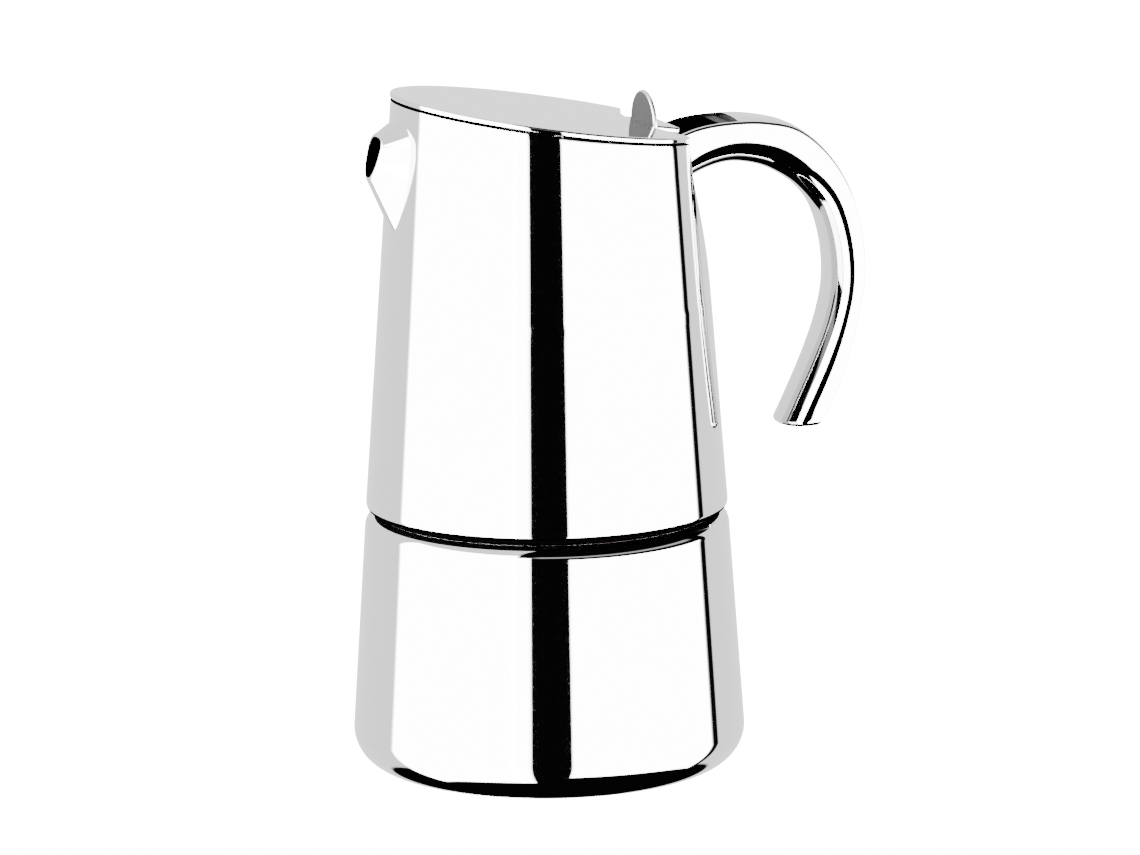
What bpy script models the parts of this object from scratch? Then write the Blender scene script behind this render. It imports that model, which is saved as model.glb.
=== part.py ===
"""A polished steel stovetop coffee pot (moka pot), built as the real one comes apart.

The frame has its origin on the pot's axis, on the underside of the base, with +Z up,
the handle towards +X, the spout towards -X and the safety valve towards +Y.
Lengths in this script are millimetres, and MM turns them into metres.
"""

import bmesh
import bpy
from math import acos, atan2, cos, degrees, hypot, pi, radians, sin, sqrt
from mathutils import Matrix, Vector

MM = 0.001
GAP = 0.3  # clearance between pieces that touch
SEGMENTS = 48  # facets round the large turned pieces
SMALL_SEGMENTS = 24  # facets round the small ones

# Boiler: a cone with a large rounded foot, a rounded shoulder and a threaded neck.
WALL = 0.9
BOILER_R0 = 53.43  # radius of the cone carried down to z = 0
BOILER_SLOPE = 0.068  # radius lost per millimetre of height
FOOT_RADIUS = 10.0
SHOULDER_Z = 69.2
SHOULDER_RADIUS = 4.0
NECK_OUTER = 41.4
NECK_INNER = 40.6
NECK_TOP = 79.0
THREAD_CREST = 42.0
THREAD_PITCH = 3.0
BOILER_FLOOR = 6.2  # top of the boiler's inner floor

# Capsule base: an aluminium disc between the boiler's floor and a steel cap.
CORE_RADIUS = 42.0
CORE_BOTTOM = 1.2
CORE_TOP = 4.8
CAP_EDGE = 46.0

# Safety valve, on the +Y side.
VALVE_Z = 48.0
VALVE_SEAT_Y = 40.0
VALVE_STEM_R = 4.3
VALVE_HEX_FLATS = 12.0
VALVE_HEAD_Y = 52.4
VALVE_END_Y = 58.0
VALVE_CHAMBER_R = 3.1

# Funnel, gasket and filter plate.
FLANGE_Z = 79.3
FLANGE_THICK = 0.8
FLANGE_RADIUS = 41.5
BASKET_RADIUS = 38.0
BASKET_DEPTH = 24.0
STEM_RADIUS = 5.5
STEM_BOTTOM = 10.0
GASKET_INNER = 34.0
GASKET_HEIGHT = 2.8
FILTER_THICK = 0.9
HOLE_RADIUS = 1.1

# Jug: a cone that carries on the boiler's line, scooped out behind for the fingers.
JUG_R0 = 53.92
JUG_SLOPE = 0.074
JUG_BOTTOM = 69.9
JUG_EDGE_RADIUS = 2.0
JUG_LIP = 45.3
FLOOR_Z = 85.0
FLOOR_THICK = 1.0
RING_INNER = 43.1
RING_CREST = 42.4
RING_OUTER = 44.6
RIM_Z = 175.25  # height of the rim's plane on the axis
RIM_SLANT = 0.157  # the rim drops this much per millimetre towards the handle
SCOOP_CENTRE = 84.0  # the scoop is a hollow of this centre and radius, seen from above
SCOOP_RADIUS = 58.3
SCOOP_Z = 162.0  # below this height the scoop runs out to the cone
SCOOP_RUN_OUT = 0.5
SCOOP_SOFTNESS = 4.0
SCOOP_STEPS = 12  # facets across the scoop
RIM_CORNER_Z = 170.2  # height of the rim at the scoop's two corners
CORNER_BLEND = 0.8

# Coffee column.
COLUMN_FOOT = 9.5
COLUMN_BOTTOM_R = 6.5
COLUMN_TOP_R = 4.8
COLUMN_TOP = 150.0
COLUMN_WALL = 0.7
CAP_RADIUS = 6.2

# Spout: an egg-shaped tube that narrows from its base on the wall to its mouth.
SPOUT_BASE_TOP = 178.0
SPOUT_BASE_BOTTOM = 146.5
SPOUT_BASE_HALF = 9.2
SPOUT_MOUTH_TOP = (-46.6, 173.9)
SPOUT_MOUTH_BOTTOM = (-49.5, 162.0)
SPOUT_MOUTH_HALF = 5.0
SPOUT_WIDEST = 0.31  # how far down the egg its widest point lies
SPOUT_TOP_POWERS = (0.68, 0.84)  # width and depth of the upper half: 1 is round, less is squarer
SPOUT_BASE_KEEL = 1.15  # of the lower half at the base: 1 is round, more is sharper
SPOUT_MOUTH_KEEL = 0.9
SPOUT_WALL = 0.8

# Handle: pairs of (outer x, outer z, inner x, inner z) along its curve, root to tip.
HANDLE_HALF_WIDTH = 9.1
HANDLE_CROWN = 0.7
HANDLE_ROUNDNESS = 0.85  # of the inner side: 1 is an ellipse, and less is squarer
HANDLE_OUTER_RADIUS = 0.9
HANDLE_PAIRS = (
    (22.0, 166.4, 22.0, 146.5),
    (32.3, 169.2, 33.0, 152.0),
    (41.3, 172.0, 42.5, 157.8),
    (51.0, 172.9, 51.5, 160.3),
    (61.0, 172.3, 60.0, 159.2),
    (70.5, 169.5, 66.5, 156.4),
    (79.5, 161.8, 72.3, 152.2),
    (86.0, 150.9, 77.0, 146.0),
    (89.4, 137.5, 80.0, 136.3),
    (89.7, 125.5, 80.7, 126.0),
    (87.4, 114.0, 78.9, 116.5),
    (83.6, 101.4, 74.9, 106.0),
    (79.3, 91.6, 69.6, 94.8),
    (77.2, 88.9, 66.4, 88.4),
)
POCKET_HALF = 8.3
POCKET_FRONT = 31.5
POCKET_STEP = 39.2
POCKET_BACK = 52.6
HINGE_FLOOR = 164.4
REST_FLOOR = 168.3

# Hinge and lid.
HINGE_X = 34.6
HINGE_Z = 167.6
PIN_RADIUS = 0.9
KNUCKLE_RADIUS = 2.0
KNUCKLE_HALF = 5.3
EAR_OUTER = 7.6
LID_THICK = 1.65
LID_PROUD = 0.15
TONGUE_HALF = 8.0
TONGUE_END = 36.2
TAB_X = 28.8
TAB_RADIUS = 8.4
TAB_THICK = 1.2

STEEL = ("polished_steel", (0.80, 0.80, 0.80, 1.0), 0.05, 1.0)
SATIN_STEEL = ("satin_steel", (0.62, 0.62, 0.62, 1.0), 0.28, 1.0)
ALUMINIUM = ("aluminium", (0.66, 0.67, 0.68, 1.0), 0.35, 1.0)
BRASS = ("brass", (0.72, 0.52, 0.22, 1.0), 0.25, 1.0)
SILICONE = ("silicone", (0.85, 0.84, 0.80, 1.0), 0.55, 0.0)
BLACK_PLASTIC = ("black_plastic", (0.015, 0.015, 0.016, 1.0), 0.45, 0.0)


def clear_scene():
    """Remove everything that the startup scene holds."""
    for obj in list(bpy.data.objects):
        bpy.data.objects.remove(obj)


def collection(name, hidden):
    made = bpy.data.collections.new(name)
    made.hide_render = hidden
    bpy.context.scene.collection.children.link(made)
    return made


def material(spec):
    """The Principled material of a (name, colour, roughness, metallic) tuple."""
    name, colour, roughness, metallic = spec
    made = bpy.data.materials.get(name)
    if made is None:
        made = bpy.data.materials.new(name)
        made.use_nodes = True
        shader = made.node_tree.nodes["Principled BSDF"]
        shader.inputs["Base Color"].default_value = colour
        shader.inputs["Roughness"].default_value = roughness
        shader.inputs["Metallic"].default_value = metallic
    return made


def mesh_object(name, mesh, spec):
    """Link a mesh as a part, or as a hidden cutter where it has no material."""
    made = bpy.data.objects.new(name, mesh)
    if spec is None:
        CUTTERS.objects.link(made)
        made.hide_render = True
        made.display_type = "WIRE"
    else:
        PARTS.objects.link(made)
        mesh.materials.append(material(spec))
        mesh.shade_smooth()
    return made


def from_bmesh(name, bm, spec):
    bmesh.ops.recalc_face_normals(bm, faces=bm.faces)
    mesh = bpy.data.meshes.new(name)
    bm.to_mesh(mesh)
    bm.free()
    made = mesh_object(name, mesh, spec)
    if spec is not None:
        mesh.set_sharp_from_angle(angle=radians(35))
    return made


def turned(name, profile, spec, segments=SEGMENTS, y_axis=False):
    """Turn a profile of (radius, height) points, ordered down the outer side.

    A profile that starts on the axis is open; any other closes on itself.
    """
    mesh = bpy.data.meshes.new(name)
    count = len(profile)
    edges = [(i, i + 1) for i in range(count - 1)]
    if profile[0][0] > 0:
        edges.append((count - 1, 0))
    points = [(r * MM, 0.0, z * MM) for r, z in profile]
    mesh.from_pydata(points, edges, [])
    made = mesh_object(name, mesh, spec)
    if y_axis:
        made.rotation_euler = (-pi / 2, 0.0, 0.0)
    screw = made.modifiers.new("turn", "SCREW")
    screw.axis = "Z"
    screw.angle = 2 * pi
    screw.steps = segments
    screw.render_steps = segments
    screw.use_merge_vertices = True
    screw.merge_threshold = 0.00001
    screw.use_smooth_shade = True
    return made


def loft(name, rings, spec, closed=False):
    """Skin rings of equal point count; closed joins the last ring to the first."""
    bm = bmesh.new()
    loops = [[bm.verts.new(Vector(p) * MM) for p in ring] for ring in rings]
    spans = list(zip(loops, loops[1:]))
    if closed:
        spans.append((loops[-1], loops[0]))
    else:
        bm.faces.new(loops[0])
        bm.faces.new(loops[-1])
    for lower, upper in spans:
        for i in range(len(lower)):
            j = (i + 1) % len(lower)
            bm.faces.new((lower[i], lower[j], upper[j], upper[i]))
    return from_bmesh(name, bm, spec)


def prism(name, outline, start, depth, spec):
    """Sweep a closed outline of points from an offset by a depth vector."""
    first = [Vector(p) + Vector(start) for p in outline]
    last = [p + Vector(depth) for p in first]
    return loft(name, [first, last], spec)


def box(name, low, high, spec):
    bm = bmesh.new()
    bmesh.ops.create_cube(bm, size=1.0)
    size = [(b - a) * MM for a, b in zip(low, high)]
    middle = [(b + a) * MM / 2 for a, b in zip(low, high)]
    bmesh.ops.scale(bm, vec=size, verts=bm.verts)
    bmesh.ops.translate(bm, vec=middle, verts=bm.verts)
    return from_bmesh(name, bm, spec)


def cylinder(name, radius, start, end, spec, segments=SMALL_SEGMENTS):
    """A cylinder between two points."""
    bm = bmesh.new()
    axis = (Vector(end) - Vector(start)) * MM
    middle = (Vector(end) + Vector(start)) * MM / 2
    turn = axis.to_track_quat("Z", "Y").to_matrix().to_4x4()
    bmesh.ops.create_cone(
        bm, cap_ends=True, segments=segments, radius1=radius * MM,
        radius2=radius * MM, depth=axis.length, matrix=Matrix.Translation(middle) @ turn,
    )
    return from_bmesh(name, bm, spec)


def boolean(part, other, operation="DIFFERENCE"):
    cut = part.modifiers.new(other.name, "BOOLEAN")
    cut.operation = operation
    cut.object = other


def arc(centre_r, centre_z, radius, start, end, steps):
    """Points (r, z) on an arc, with angles in degrees from +r towards +z."""
    turns = [radians(start + (end - start) * i / steps) for i in range(steps + 1)]
    return [(centre_r + radius * cos(a), centre_z + radius * sin(a)) for a in turns]


def boiler_radius(z):
    return BOILER_R0 - BOILER_SLOPE * z


def thread_profile(crest, root, bottom, ridges, rising):
    """The zigzag of a thread's section, from the top down, or up when rising."""
    points = []
    for i in range(ridges):
        top = bottom + (ridges - i) * THREAD_PITCH
        points.append((root, top))
        points.append((crest, top - 0.9))
        points.append((crest, top - 1.5))
        points.append((root, top - 2.4))
    return points[::-1] if rising else points


def make_boiler():
    """The boiler, its capsule base and the hole for the valve."""
    lean = atan2(BOILER_SLOPE, 1.0)
    foot_r = boiler_radius(FOOT_RADIUS) - FOOT_RADIUS
    shoulder_r = boiler_radius(SHOULDER_Z - SHOULDER_RADIUS) - SHOULDER_RADIUS
    shoulder_z = SHOULDER_Z - SHOULDER_RADIUS
    foot = arc(foot_r, FOOT_RADIUS, FOOT_RADIUS, degrees(lean), -62.0, 6)
    inner_foot = arc(foot_r, FOOT_RADIUS + 5.3, FOOT_RADIUS - 0.9, -88.0, 0.0, 4)
    shoulder = arc(shoulder_r, shoulder_z, SHOULDER_RADIUS, 88.0, degrees(lean), 3)
    inner_shoulder = arc(
        shoulder_r, shoulder_z, SHOULDER_RADIUS - WALL, degrees(lean), 88.0, 2
    )
    thread = thread_profile(THREAD_CREST, NECK_OUTER, SHOULDER_Z + 2.2, 2, False)
    profile = [(0.0, BOILER_FLOOR)] + inner_foot + inner_shoulder
    profile += [(NECK_INNER, SHOULDER_Z - WALL), (NECK_INNER, NECK_TOP)]
    profile += [(NECK_OUTER - 0.2, NECK_TOP)] + thread
    profile += [(NECK_OUTER, SHOULDER_Z)] + shoulder + foot
    profile += [(CAP_EDGE + GAP, CORE_TOP + GAP), (0.0, CORE_TOP + GAP)]
    shell = turned("boiler_shell", profile, STEEL)
    hole = cylinder(
        "valve_hole", VALVE_STEM_R + GAP, (0, 42, VALVE_Z), (0, 60, VALVE_Z), None
    )
    boolean(shell, hole)

    core = [(0.0, CORE_TOP), (CORE_RADIUS, CORE_TOP), (CORE_RADIUS, CORE_BOTTOM)]
    turned("base_core_disc", core + [(0.0, CORE_BOTTOM)], ALUMINIUM)

    under = arc(foot_r, FOOT_RADIUS, FOOT_RADIUS, -66.0, -90.0, 3)
    cap = [(0.0, CORE_BOTTOM - GAP), (CORE_RADIUS + GAP, CORE_BOTTOM - GAP)]
    cap += [(CORE_RADIUS + GAP, CORE_TOP), (CAP_EDGE - GAP, CORE_TOP)]
    turned("base_cap", cap + under + [(0.0, 0.0)], STEEL)


def hexagon(flats, count):
    """Points round a hexagon of this width across flats, count of them."""
    points = []
    for i in range(count):
        angle = 2 * pi * i / count
        from_flat = (angle + pi / 6) % (pi / 3) - pi / 6
        radius = flats / 2 / cos(from_flat)
        points.append((radius * cos(angle), radius * sin(angle)))
    return points


def circle(radius, count):
    turns = [2 * pi * i / count for i in range(count)]
    return [(radius * cos(a), radius * sin(a)) for a in turns]


def valve_rings(sections):
    """Rings about the valve's axis from (outline, y) pairs."""
    return [[(x, y, VALVE_Z + z) for x, z in outline] for outline, y in sections]


def make_valve():
    """The safety valve: a hexagonal body through the wall, sprung shut from outside."""
    count = SMALL_SEGMENTS
    hexes = hexagon(VALVE_HEX_FLATS, count)
    head_end = VALVE_HEAD_Y + 4.0
    body = [
        (circle(1.7, count), VALVE_SEAT_Y),
        (circle(VALVE_STEM_R, count), VALVE_SEAT_Y),
        (circle(VALVE_STEM_R, count), VALVE_HEAD_Y),
        (hexes, VALVE_HEAD_Y),
        (hexes, head_end),
        (circle(4.8, count), head_end),
        (circle(4.4, count), VALVE_END_Y),
        (circle(VALVE_CHAMBER_R, count), VALVE_END_Y),
        (circle(VALVE_CHAMBER_R, count), VALVE_SEAT_Y + 1.5),
        (circle(1.7, count), VALVE_SEAT_Y + 1.5),
    ]
    loft("valve_body", valve_rings(body), BRASS, closed=True)

    washer = [(6.6, 1.0), (6.6, 0.0), (4.6, 0.0), (4.6, 1.0)]
    disc = turned("valve_washer", washer, SILICONE, count, y_axis=True)
    disc.location = (0.0, 51.0 * MM, VALVE_Z * MM)

    bore = circle(VALVE_STEM_R + GAP, count)
    nut = [(bore, 45.0), (hexes, 45.0), (hexes, 48.0), (bore, 48.0)]
    loft("valve_nut", valve_rings(nut), BRASS, closed=True)

    keeper = [(2.8, 1.4), (2.8, 0.0), (1.6, 0.0), (1.6, 1.4)]
    ring = turned("valve_retainer", keeper, SATIN_STEEL, count, y_axis=True)
    ring.location = (0.0, 56.0 * MM, VALVE_Z * MM)

    plunger = [(0.0, 19.2), (0.9, 19.0), (1.1, 18.6), (1.1, 3.0)]
    plunger += [(2.7, 2.4), (2.7, 1.4), (1.9, 0.0), (0.0, 0.0)]
    rod = turned("valve_plunger", plunger, BRASS, count, y_axis=True)
    rod.location = (0.0, (VALVE_SEAT_Y + 1.9) * MM, VALVE_Z * MM)
    make_valve_spring()


def make_valve_spring():
    """A coil from the plunger's head to the retainer."""
    turns = 5
    per_turn = 10
    start = VALVE_SEAT_Y + 5.1
    length = 9.5
    curve = bpy.data.curves.new("valve_spring_path", "CURVE")
    curve.dimensions = "3D"
    curve.bevel_depth = 0.3 * MM
    curve.bevel_resolution = 1
    curve.use_fill_caps = True
    spline = curve.splines.new("POLY")
    count = turns * per_turn
    spline.points.add(count)
    for i in range(count + 1):
        angle = 2 * pi * i / per_turn
        along = start + length * i / count
        place = (2.1 * cos(angle), along, VALVE_Z + 2.1 * sin(angle))
        spline.points[i].co = [c * MM for c in place] + [1.0]
    guide = bpy.data.objects.new("valve_spring_guide", curve)
    CUTTERS.objects.link(guide)
    mesh = evaluated_mesh(guide)
    mesh.name = "valve_spring"
    mesh.materials.clear()
    bpy.data.objects.remove(guide)
    mesh_object("valve_spring", mesh, SATIN_STEEL)


def evaluated_mesh(obj):
    """The welded mesh of an object as it is drawn."""
    bpy.context.view_layer.update()
    graph = bpy.context.evaluated_depsgraph_get()
    mesh = bpy.data.meshes.new_from_object(obj.evaluated_get(graph))
    bm = bmesh.new()
    bm.from_mesh(mesh)
    bmesh.ops.remove_doubles(bm, verts=bm.verts, dist=0.01 * MM)
    bmesh.ops.recalc_face_normals(bm, faces=bm.faces)
    bm.to_mesh(mesh)
    bm.free()
    return mesh


def hole_cutter(name, rings, low, high):
    """Six-sided pegs on rings of (radius, count), for a perforated disc."""
    bm = bmesh.new()
    for radius, count in rings:
        for i in range(count):
            angle = 2 * pi * i / count
            place = (radius * cos(angle) * MM, radius * sin(angle) * MM, (low + high) / 2 * MM)
            bmesh.ops.create_cone(
                bm, cap_ends=True, segments=6, radius1=HOLE_RADIUS * MM,
                radius2=HOLE_RADIUS * MM, depth=(high - low) * MM,
                matrix=Matrix.Translation(place),
            )
    return from_bmesh(name, bm, None)


def make_funnel():
    """The coffee basket with its flange, its perforated floor and its stem."""
    top = FLANGE_Z + FLANGE_THICK
    low = top - BASKET_DEPTH
    inner = BASKET_RADIUS - 0.6
    profile = [(BASKET_RADIUS, low + 2.0)]
    profile += [(BASKET_RADIUS - 2.0, low), (STEM_RADIUS + GAP, low - 5.0)]
    profile += [(STEM_RADIUS + GAP, low - 4.3), (BASKET_RADIUS - 2.3, low + 0.7)]
    profile += [(inner, low + 2.2), (inner, top), (FLANGE_RADIUS, top)]
    profile += [(FLANGE_RADIUS, FLANGE_Z), (BASKET_RADIUS, FLANGE_Z)]
    turned("funnel_basket", profile, ALUMINIUM)

    stem_top = low - 3.4
    outer = STEM_RADIUS
    bore = STEM_RADIUS - 0.6
    stem = [(bore, stem_top), (outer, stem_top), (outer, STEM_BOTTOM), (bore, STEM_BOTTOM)]
    turned("funnel_stem", stem, ALUMINIUM, SMALL_SEGMENTS)

    plate_z = low + 2.6
    edge = inner - GAP
    plate = [(0.0, plate_z + 0.6), (edge, plate_z + 0.6), (edge, plate_z), (0.0, plate_z)]
    disc = turned("basket_floor", plate, ALUMINIUM)
    pegs = ((10.0, 6), (20.0, 12), (30.0, 18))
    boolean(disc, hole_cutter("basket_floor_holes", pegs, plate_z - 1, plate_z + 2))


def make_seal():
    """The gasket and the filter plate that it holds under the jug's floor."""
    low = FLANGE_Z + FLANGE_THICK + GAP
    top = low + GASKET_HEIGHT
    outer = FLANGE_RADIUS
    gasket = [(GASKET_INNER, top), (outer - 0.4, top), (outer, top - 0.4)]
    gasket += [(outer, low + 0.4), (outer - 0.4, low), (GASKET_INNER, low)]
    turned("gasket", gasket, SILICONE)

    low = top + GAP
    top = low + FILTER_THICK
    plate = [(0.0, top), (outer, top), (outer, low), (0.0, low)]
    disc = turned("filter_plate", plate, SATIN_STEEL)
    pegs = ((9.0, 6), (18.0, 12), (27.0, 18))
    boolean(disc, hole_cutter("filter_holes", pegs, low - 1, top + 1))


def cone_radius(z):
    return JUG_R0 - JUG_SLOPE * z


def scoop_offset(z):
    """How far the scoop has moved out from its place at the rim."""
    depth = (SCOOP_Z - z) / SCOOP_SOFTNESS
    return SCOOP_RUN_OUT * SCOOP_SOFTNESS * softened(depth)


def softened(x):
    """A smooth ramp: near 0 below zero, and near x above it."""
    return (x + sqrt(x * x + 1.0)) / 2


def jug_radius(angle, z):
    """Outer radius of the jug's wall at an angle round the axis, from +X."""
    cone = cone_radius(z)
    centre = SCOOP_CENTRE + scoop_offset(z)
    inside = SCOOP_RADIUS ** 2 - (centre * sin(angle)) ** 2
    if cos(angle) <= 0 or inside <= 0:
        return cone
    scoop = centre * cos(angle) - sqrt(inside)
    middle = (cone + scoop) / 2
    return middle - hypot((cone - scoop) / 2, CORNER_BLEND / 2)


def rim_height(x):
    return RIM_Z - RIM_SLANT * x


def on_plane(angle, plane_z, grow):
    """The wall's point (x, y, z) on a slanted plane, grown outwards by grow."""
    z = plane_z
    for _ in range(12):
        radius = jug_radius(angle, z) + grow
        z = plane_z - RIM_SLANT * radius * cos(angle)
    return (radius * cos(angle), radius * sin(angle), z)


def jug_angles(z=RIM_CORNER_Z):
    """Angles round the jug: even steps across the scoop, and even steps round the rest."""
    cone = cone_radius(z)
    centre = SCOOP_CENTRE + scoop_offset(z)
    meet = (cone ** 2 + centre ** 2 - SCOOP_RADIUS ** 2) / (2 * cone * centre)
    corner = max(acos(min(meet, 1.0)), radians(8.0))
    across = [corner * (2 * i / SCOOP_STEPS - 1) for i in range(SCOOP_STEPS)]
    steps = SEGMENTS - SCOOP_STEPS
    rest = [corner + 2 * (pi - corner) * i / steps for i in range(steps)]
    return across + rest


def wall_ring(grow, z=None, plane_z=None):
    """A ring of the jug's wall at a height, or on the slanted plane."""
    if plane_z is not None:
        return [on_plane(a, plane_z, grow) for a in jug_angles()]
    radii = [jug_radius(a, z) + grow for a in jug_angles(z)]
    return [(r * cos(a), r * sin(a), z) for r, a in zip(radii, jug_angles(z))]


def flat_ring(radius, z):
    return [(radius * cos(a), radius * sin(a), z) for a in jug_angles(z)]


def make_jug():
    """The jug's wall with the hole behind the spout, its floor and its thread ring."""
    edge_top = JUG_BOTTOM + JUG_EDGE_RADIUS
    edge_r = cone_radius(edge_top)
    edge = arc(edge_r - JUG_EDGE_RADIUS, edge_top, JUG_EDGE_RADIUS, -90.0, -8.0, 3)
    heights = (edge_top, 98.0, 121.0, 124.5, 129.0, 136.0, 143.0, 150.0, 157.0, 163.0)
    rings = [flat_ring(JUG_LIP, JUG_BOTTOM)]
    rings += [flat_ring(r, z) for r, z in edge[:-1]]
    rings += [wall_ring(0.0, z) for z in heights]
    rings += [wall_ring(0.0, plane_z=RIM_Z), wall_ring(-WALL, plane_z=RIM_Z)]
    rings += [wall_ring(-WALL, z) for z in heights[:0:-1]]
    rings += [flat_ring(cone_radius(edge_top) - WALL, edge_top)]
    rings += [flat_ring(JUG_LIP, JUG_BOTTOM + WALL)]
    shell = loft("jug_shell", rings, STEEL, closed=True)
    opening = [(0.0, y, z) for y, z in egg_section(SPOUT_WALL + 0.8)]
    cutter = prism("spout_opening", opening, (-60, 0, 0), (30, 0, 0), None)
    boolean(shell, cutter)

    outer = cone_radius(FLOOR_Z) - WALL - 0.5
    top = FLOOR_Z + FLOOR_THICK
    floor = [(8.0, top), (outer - 0.8, top), (outer - 0.8, top + 2.4), (outer, top + 2.4)]
    floor += [(outer, FLOOR_Z), (8.0, FLOOR_Z)]
    turned("jug_floor", floor, STEEL)

    low = JUG_BOTTOM + 0.4
    bore = thread_profile(RING_CREST, RING_INNER, low + 1.6, 2, True)
    ring = [(RING_OUTER, FLOOR_Z - GAP), (RING_OUTER, low), (RING_INNER, low)]
    turned("thread_ring", ring + bore + [(RING_INNER, FLOOR_Z - GAP)], SATIN_STEEL)


def make_column():
    """The pipe that the coffee rises through, with its slots and its cap."""
    low = FLOOR_Z + FLOOR_THICK + GAP
    bore = COLUMN_BOTTOM_R - COLUMN_WALL
    profile = [(COLUMN_TOP_R - COLUMN_WALL, COLUMN_TOP), (COLUMN_TOP_R, COLUMN_TOP)]
    profile += [(COLUMN_BOTTOM_R, low + 6.0), (COLUMN_BOTTOM_R + 0.8, low + 3.0)]
    profile += [(COLUMN_FOOT - 0.6, low + 0.9), (COLUMN_FOOT, low + 0.6), (COLUMN_FOOT, low)]
    profile += [(COLUMN_FOOT - 1.4, low), (bore + 0.5, low + 2.6), (bore, low + 6.0)]
    column = turned("coffee_column", profile, STEEL, 32)
    slot_low = COLUMN_TOP - 12.0
    slot = box("column_slots", (-1.5, -9.0, slot_low), (1.5, 9.0, slot_low + 6.5), None)
    boolean(column, slot)

    base = COLUMN_TOP + GAP
    plug = COLUMN_TOP_R - COLUMN_WALL - GAP
    cap = [(0.0, base + 3.6), (2.2, base + 3.4), (4.2, base + 2.6), (5.6, base + 1.5)]
    cap += [(CAP_RADIUS, base + 0.6), (CAP_RADIUS, base), (plug, base)]
    turned("column_cap", cap + [(plug, base - 3.0), (0.0, base - 3.0)], STEEL, 32)


def egg(angle, keel):
    """(half-width, distance down), both 0 to 1, of an egg: angle 0 is its top, keel its sharpness."""
    turn = abs(angle)
    side = 1.0 if angle >= 0 else -1.0
    if turn <= pi / 2:
        return side * sin(turn) ** SPOUT_TOP_POWERS[0], SPOUT_WIDEST * (1 - cos(turn) ** SPOUT_TOP_POWERS[1])
    return side * sin(turn) ** keel, SPOUT_WIDEST - (1 - SPOUT_WIDEST) * cos(turn)


def egg_section(inset):
    """(y, z) points of the spout's base outline, drawn in by inset."""
    points = []
    top = SPOUT_BASE_TOP - inset
    drop = top - (SPOUT_BASE_BOTTOM + 2 * inset)
    for i in range(SMALL_SEGMENTS):
        wide, down = egg(-pi + 2 * pi * i / SMALL_SEGMENTS, SPOUT_BASE_KEEL)
        points.append(((SPOUT_BASE_HALF - inset) * wide, top - drop * down))
    return points


def spout_ring(along, inset):
    """A ring of the spout from its base (along 0) to its mouth (along 1)."""
    ring = []
    base = egg_section(inset)
    for i in range(SMALL_SEGMENTS):
        wide, down = egg(-pi + 2 * pi * i / SMALL_SEGMENTS, SPOUT_MOUTH_KEEL)
        y0, z0 = base[i]
        reach = cone_radius(z0) + GAP
        start = Vector((-sqrt(reach ** 2 - y0 ** 2), y0, z0))
        top = Vector((SPOUT_MOUTH_TOP[0], 0.0, SPOUT_MOUTH_TOP[1] - inset))
        low = Vector((SPOUT_MOUTH_BOTTOM[0], 0.0, SPOUT_MOUTH_BOTTOM[1] + 1.3 * inset))
        end = top.lerp(low, down)
        end.y = (SPOUT_MOUTH_HALF - inset) * wide
        ring.append(start.lerp(end, along))
    return ring


def make_spout():
    steps = (0.0, 0.2, 0.45, 0.72, 1.0)
    outer = [spout_ring(a, 0.0) for a in steps]
    inner = [spout_ring(a, SPOUT_WALL) for a in steps[::-1]]
    loft("spout", outer + inner, STEEL, closed=True)


def spline_point(points, at):
    """A point on the smooth curve through the points, at 0 to len(points) - 1."""
    index = min(int(at), len(points) - 2)
    t = at - index
    p0 = points[max(index - 1, 0)]
    p1 = points[index]
    p2 = points[index + 1]
    p3 = points[min(index + 2, len(points) - 1)]
    return [
        b + 0.5 * t * (c - a + t * (2 * a - 5 * b + 4 * c - d + t * (3 * (b - c) + d - a)))
        for a, b, c, d in zip(p0, p1, p2, p3)
    ]


def handle_section(inner, outer, shrink):
    """The handle's outline across a pair of points: rounded inside, crowned outside."""
    up = (outer - inner).normalized()
    thick = (outer - inner).length
    half = HANDLE_HALF_WIDTH - shrink
    high_r = HANDLE_OUTER_RADIUS
    deep = thick - 2 * shrink - HANDLE_CROWN - high_r
    profile = []
    for turn in [radians(15.0 * i + 7.5) for i in range(6)]:
        rise = deep * (1 - cos(turn) ** HANDLE_ROUNDNESS)
        profile.append((half * sin(turn) ** HANDLE_ROUNDNESS, shrink + rise))
    profile += arc(half - high_r, shrink + deep, high_r, 2.0, 80.0, 2)
    profile += [(half * 0.45, thick - shrink - 0.2 * HANDLE_CROWN)]
    mirrored = [(-y, t) for y, t in profile[::-1]]
    return [inner + up * t + Vector((0.0, y, 0.0)) for y, t in profile + mirrored]


def handle_ring(at, shrink=0.0, drop=0.0):
    outer_x, outer_z, inner_x, inner_z = spline_point(HANDLE_PAIRS, at)
    inner = Vector((inner_x, 0.0, inner_z - drop))
    outer = Vector((outer_x, 0.0, outer_z - drop))
    return handle_section(inner, outer, shrink)


def make_handle():
    """The handle, fitted to the scooped wall, with a pocket for hinge and thumb rest."""
    last = len(HANDLE_PAIRS) - 1
    rings = [handle_ring(last * i / 34) for i in range(35)]
    rings.append(handle_ring(last, 0.5, 0.9))
    rings.append(handle_ring(last, 1.8, 1.4))
    handle = loft("handle", rings, STEEL)

    wall = [wall_ring(GAP, z) for z in (124.5, 129.0, 136.0, 143.0, 150.0, 157.0, 163.0)]
    wall.append(wall_ring(GAP, 172.0))
    boolean(handle, loft("jug_wall_cutter", wall, None))
    low = (POCKET_FRONT, -POCKET_HALF, HINGE_FLOOR)
    boolean(handle, box("hinge_pocket", low, (POCKET_STEP, POCKET_HALF, 180.0), None))
    low = (POCKET_STEP - 1.0, -POCKET_HALF, REST_FLOOR)
    boolean(handle, box("rest_pocket", low, (POCKET_BACK, POCKET_HALF, 180.0), None))


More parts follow.
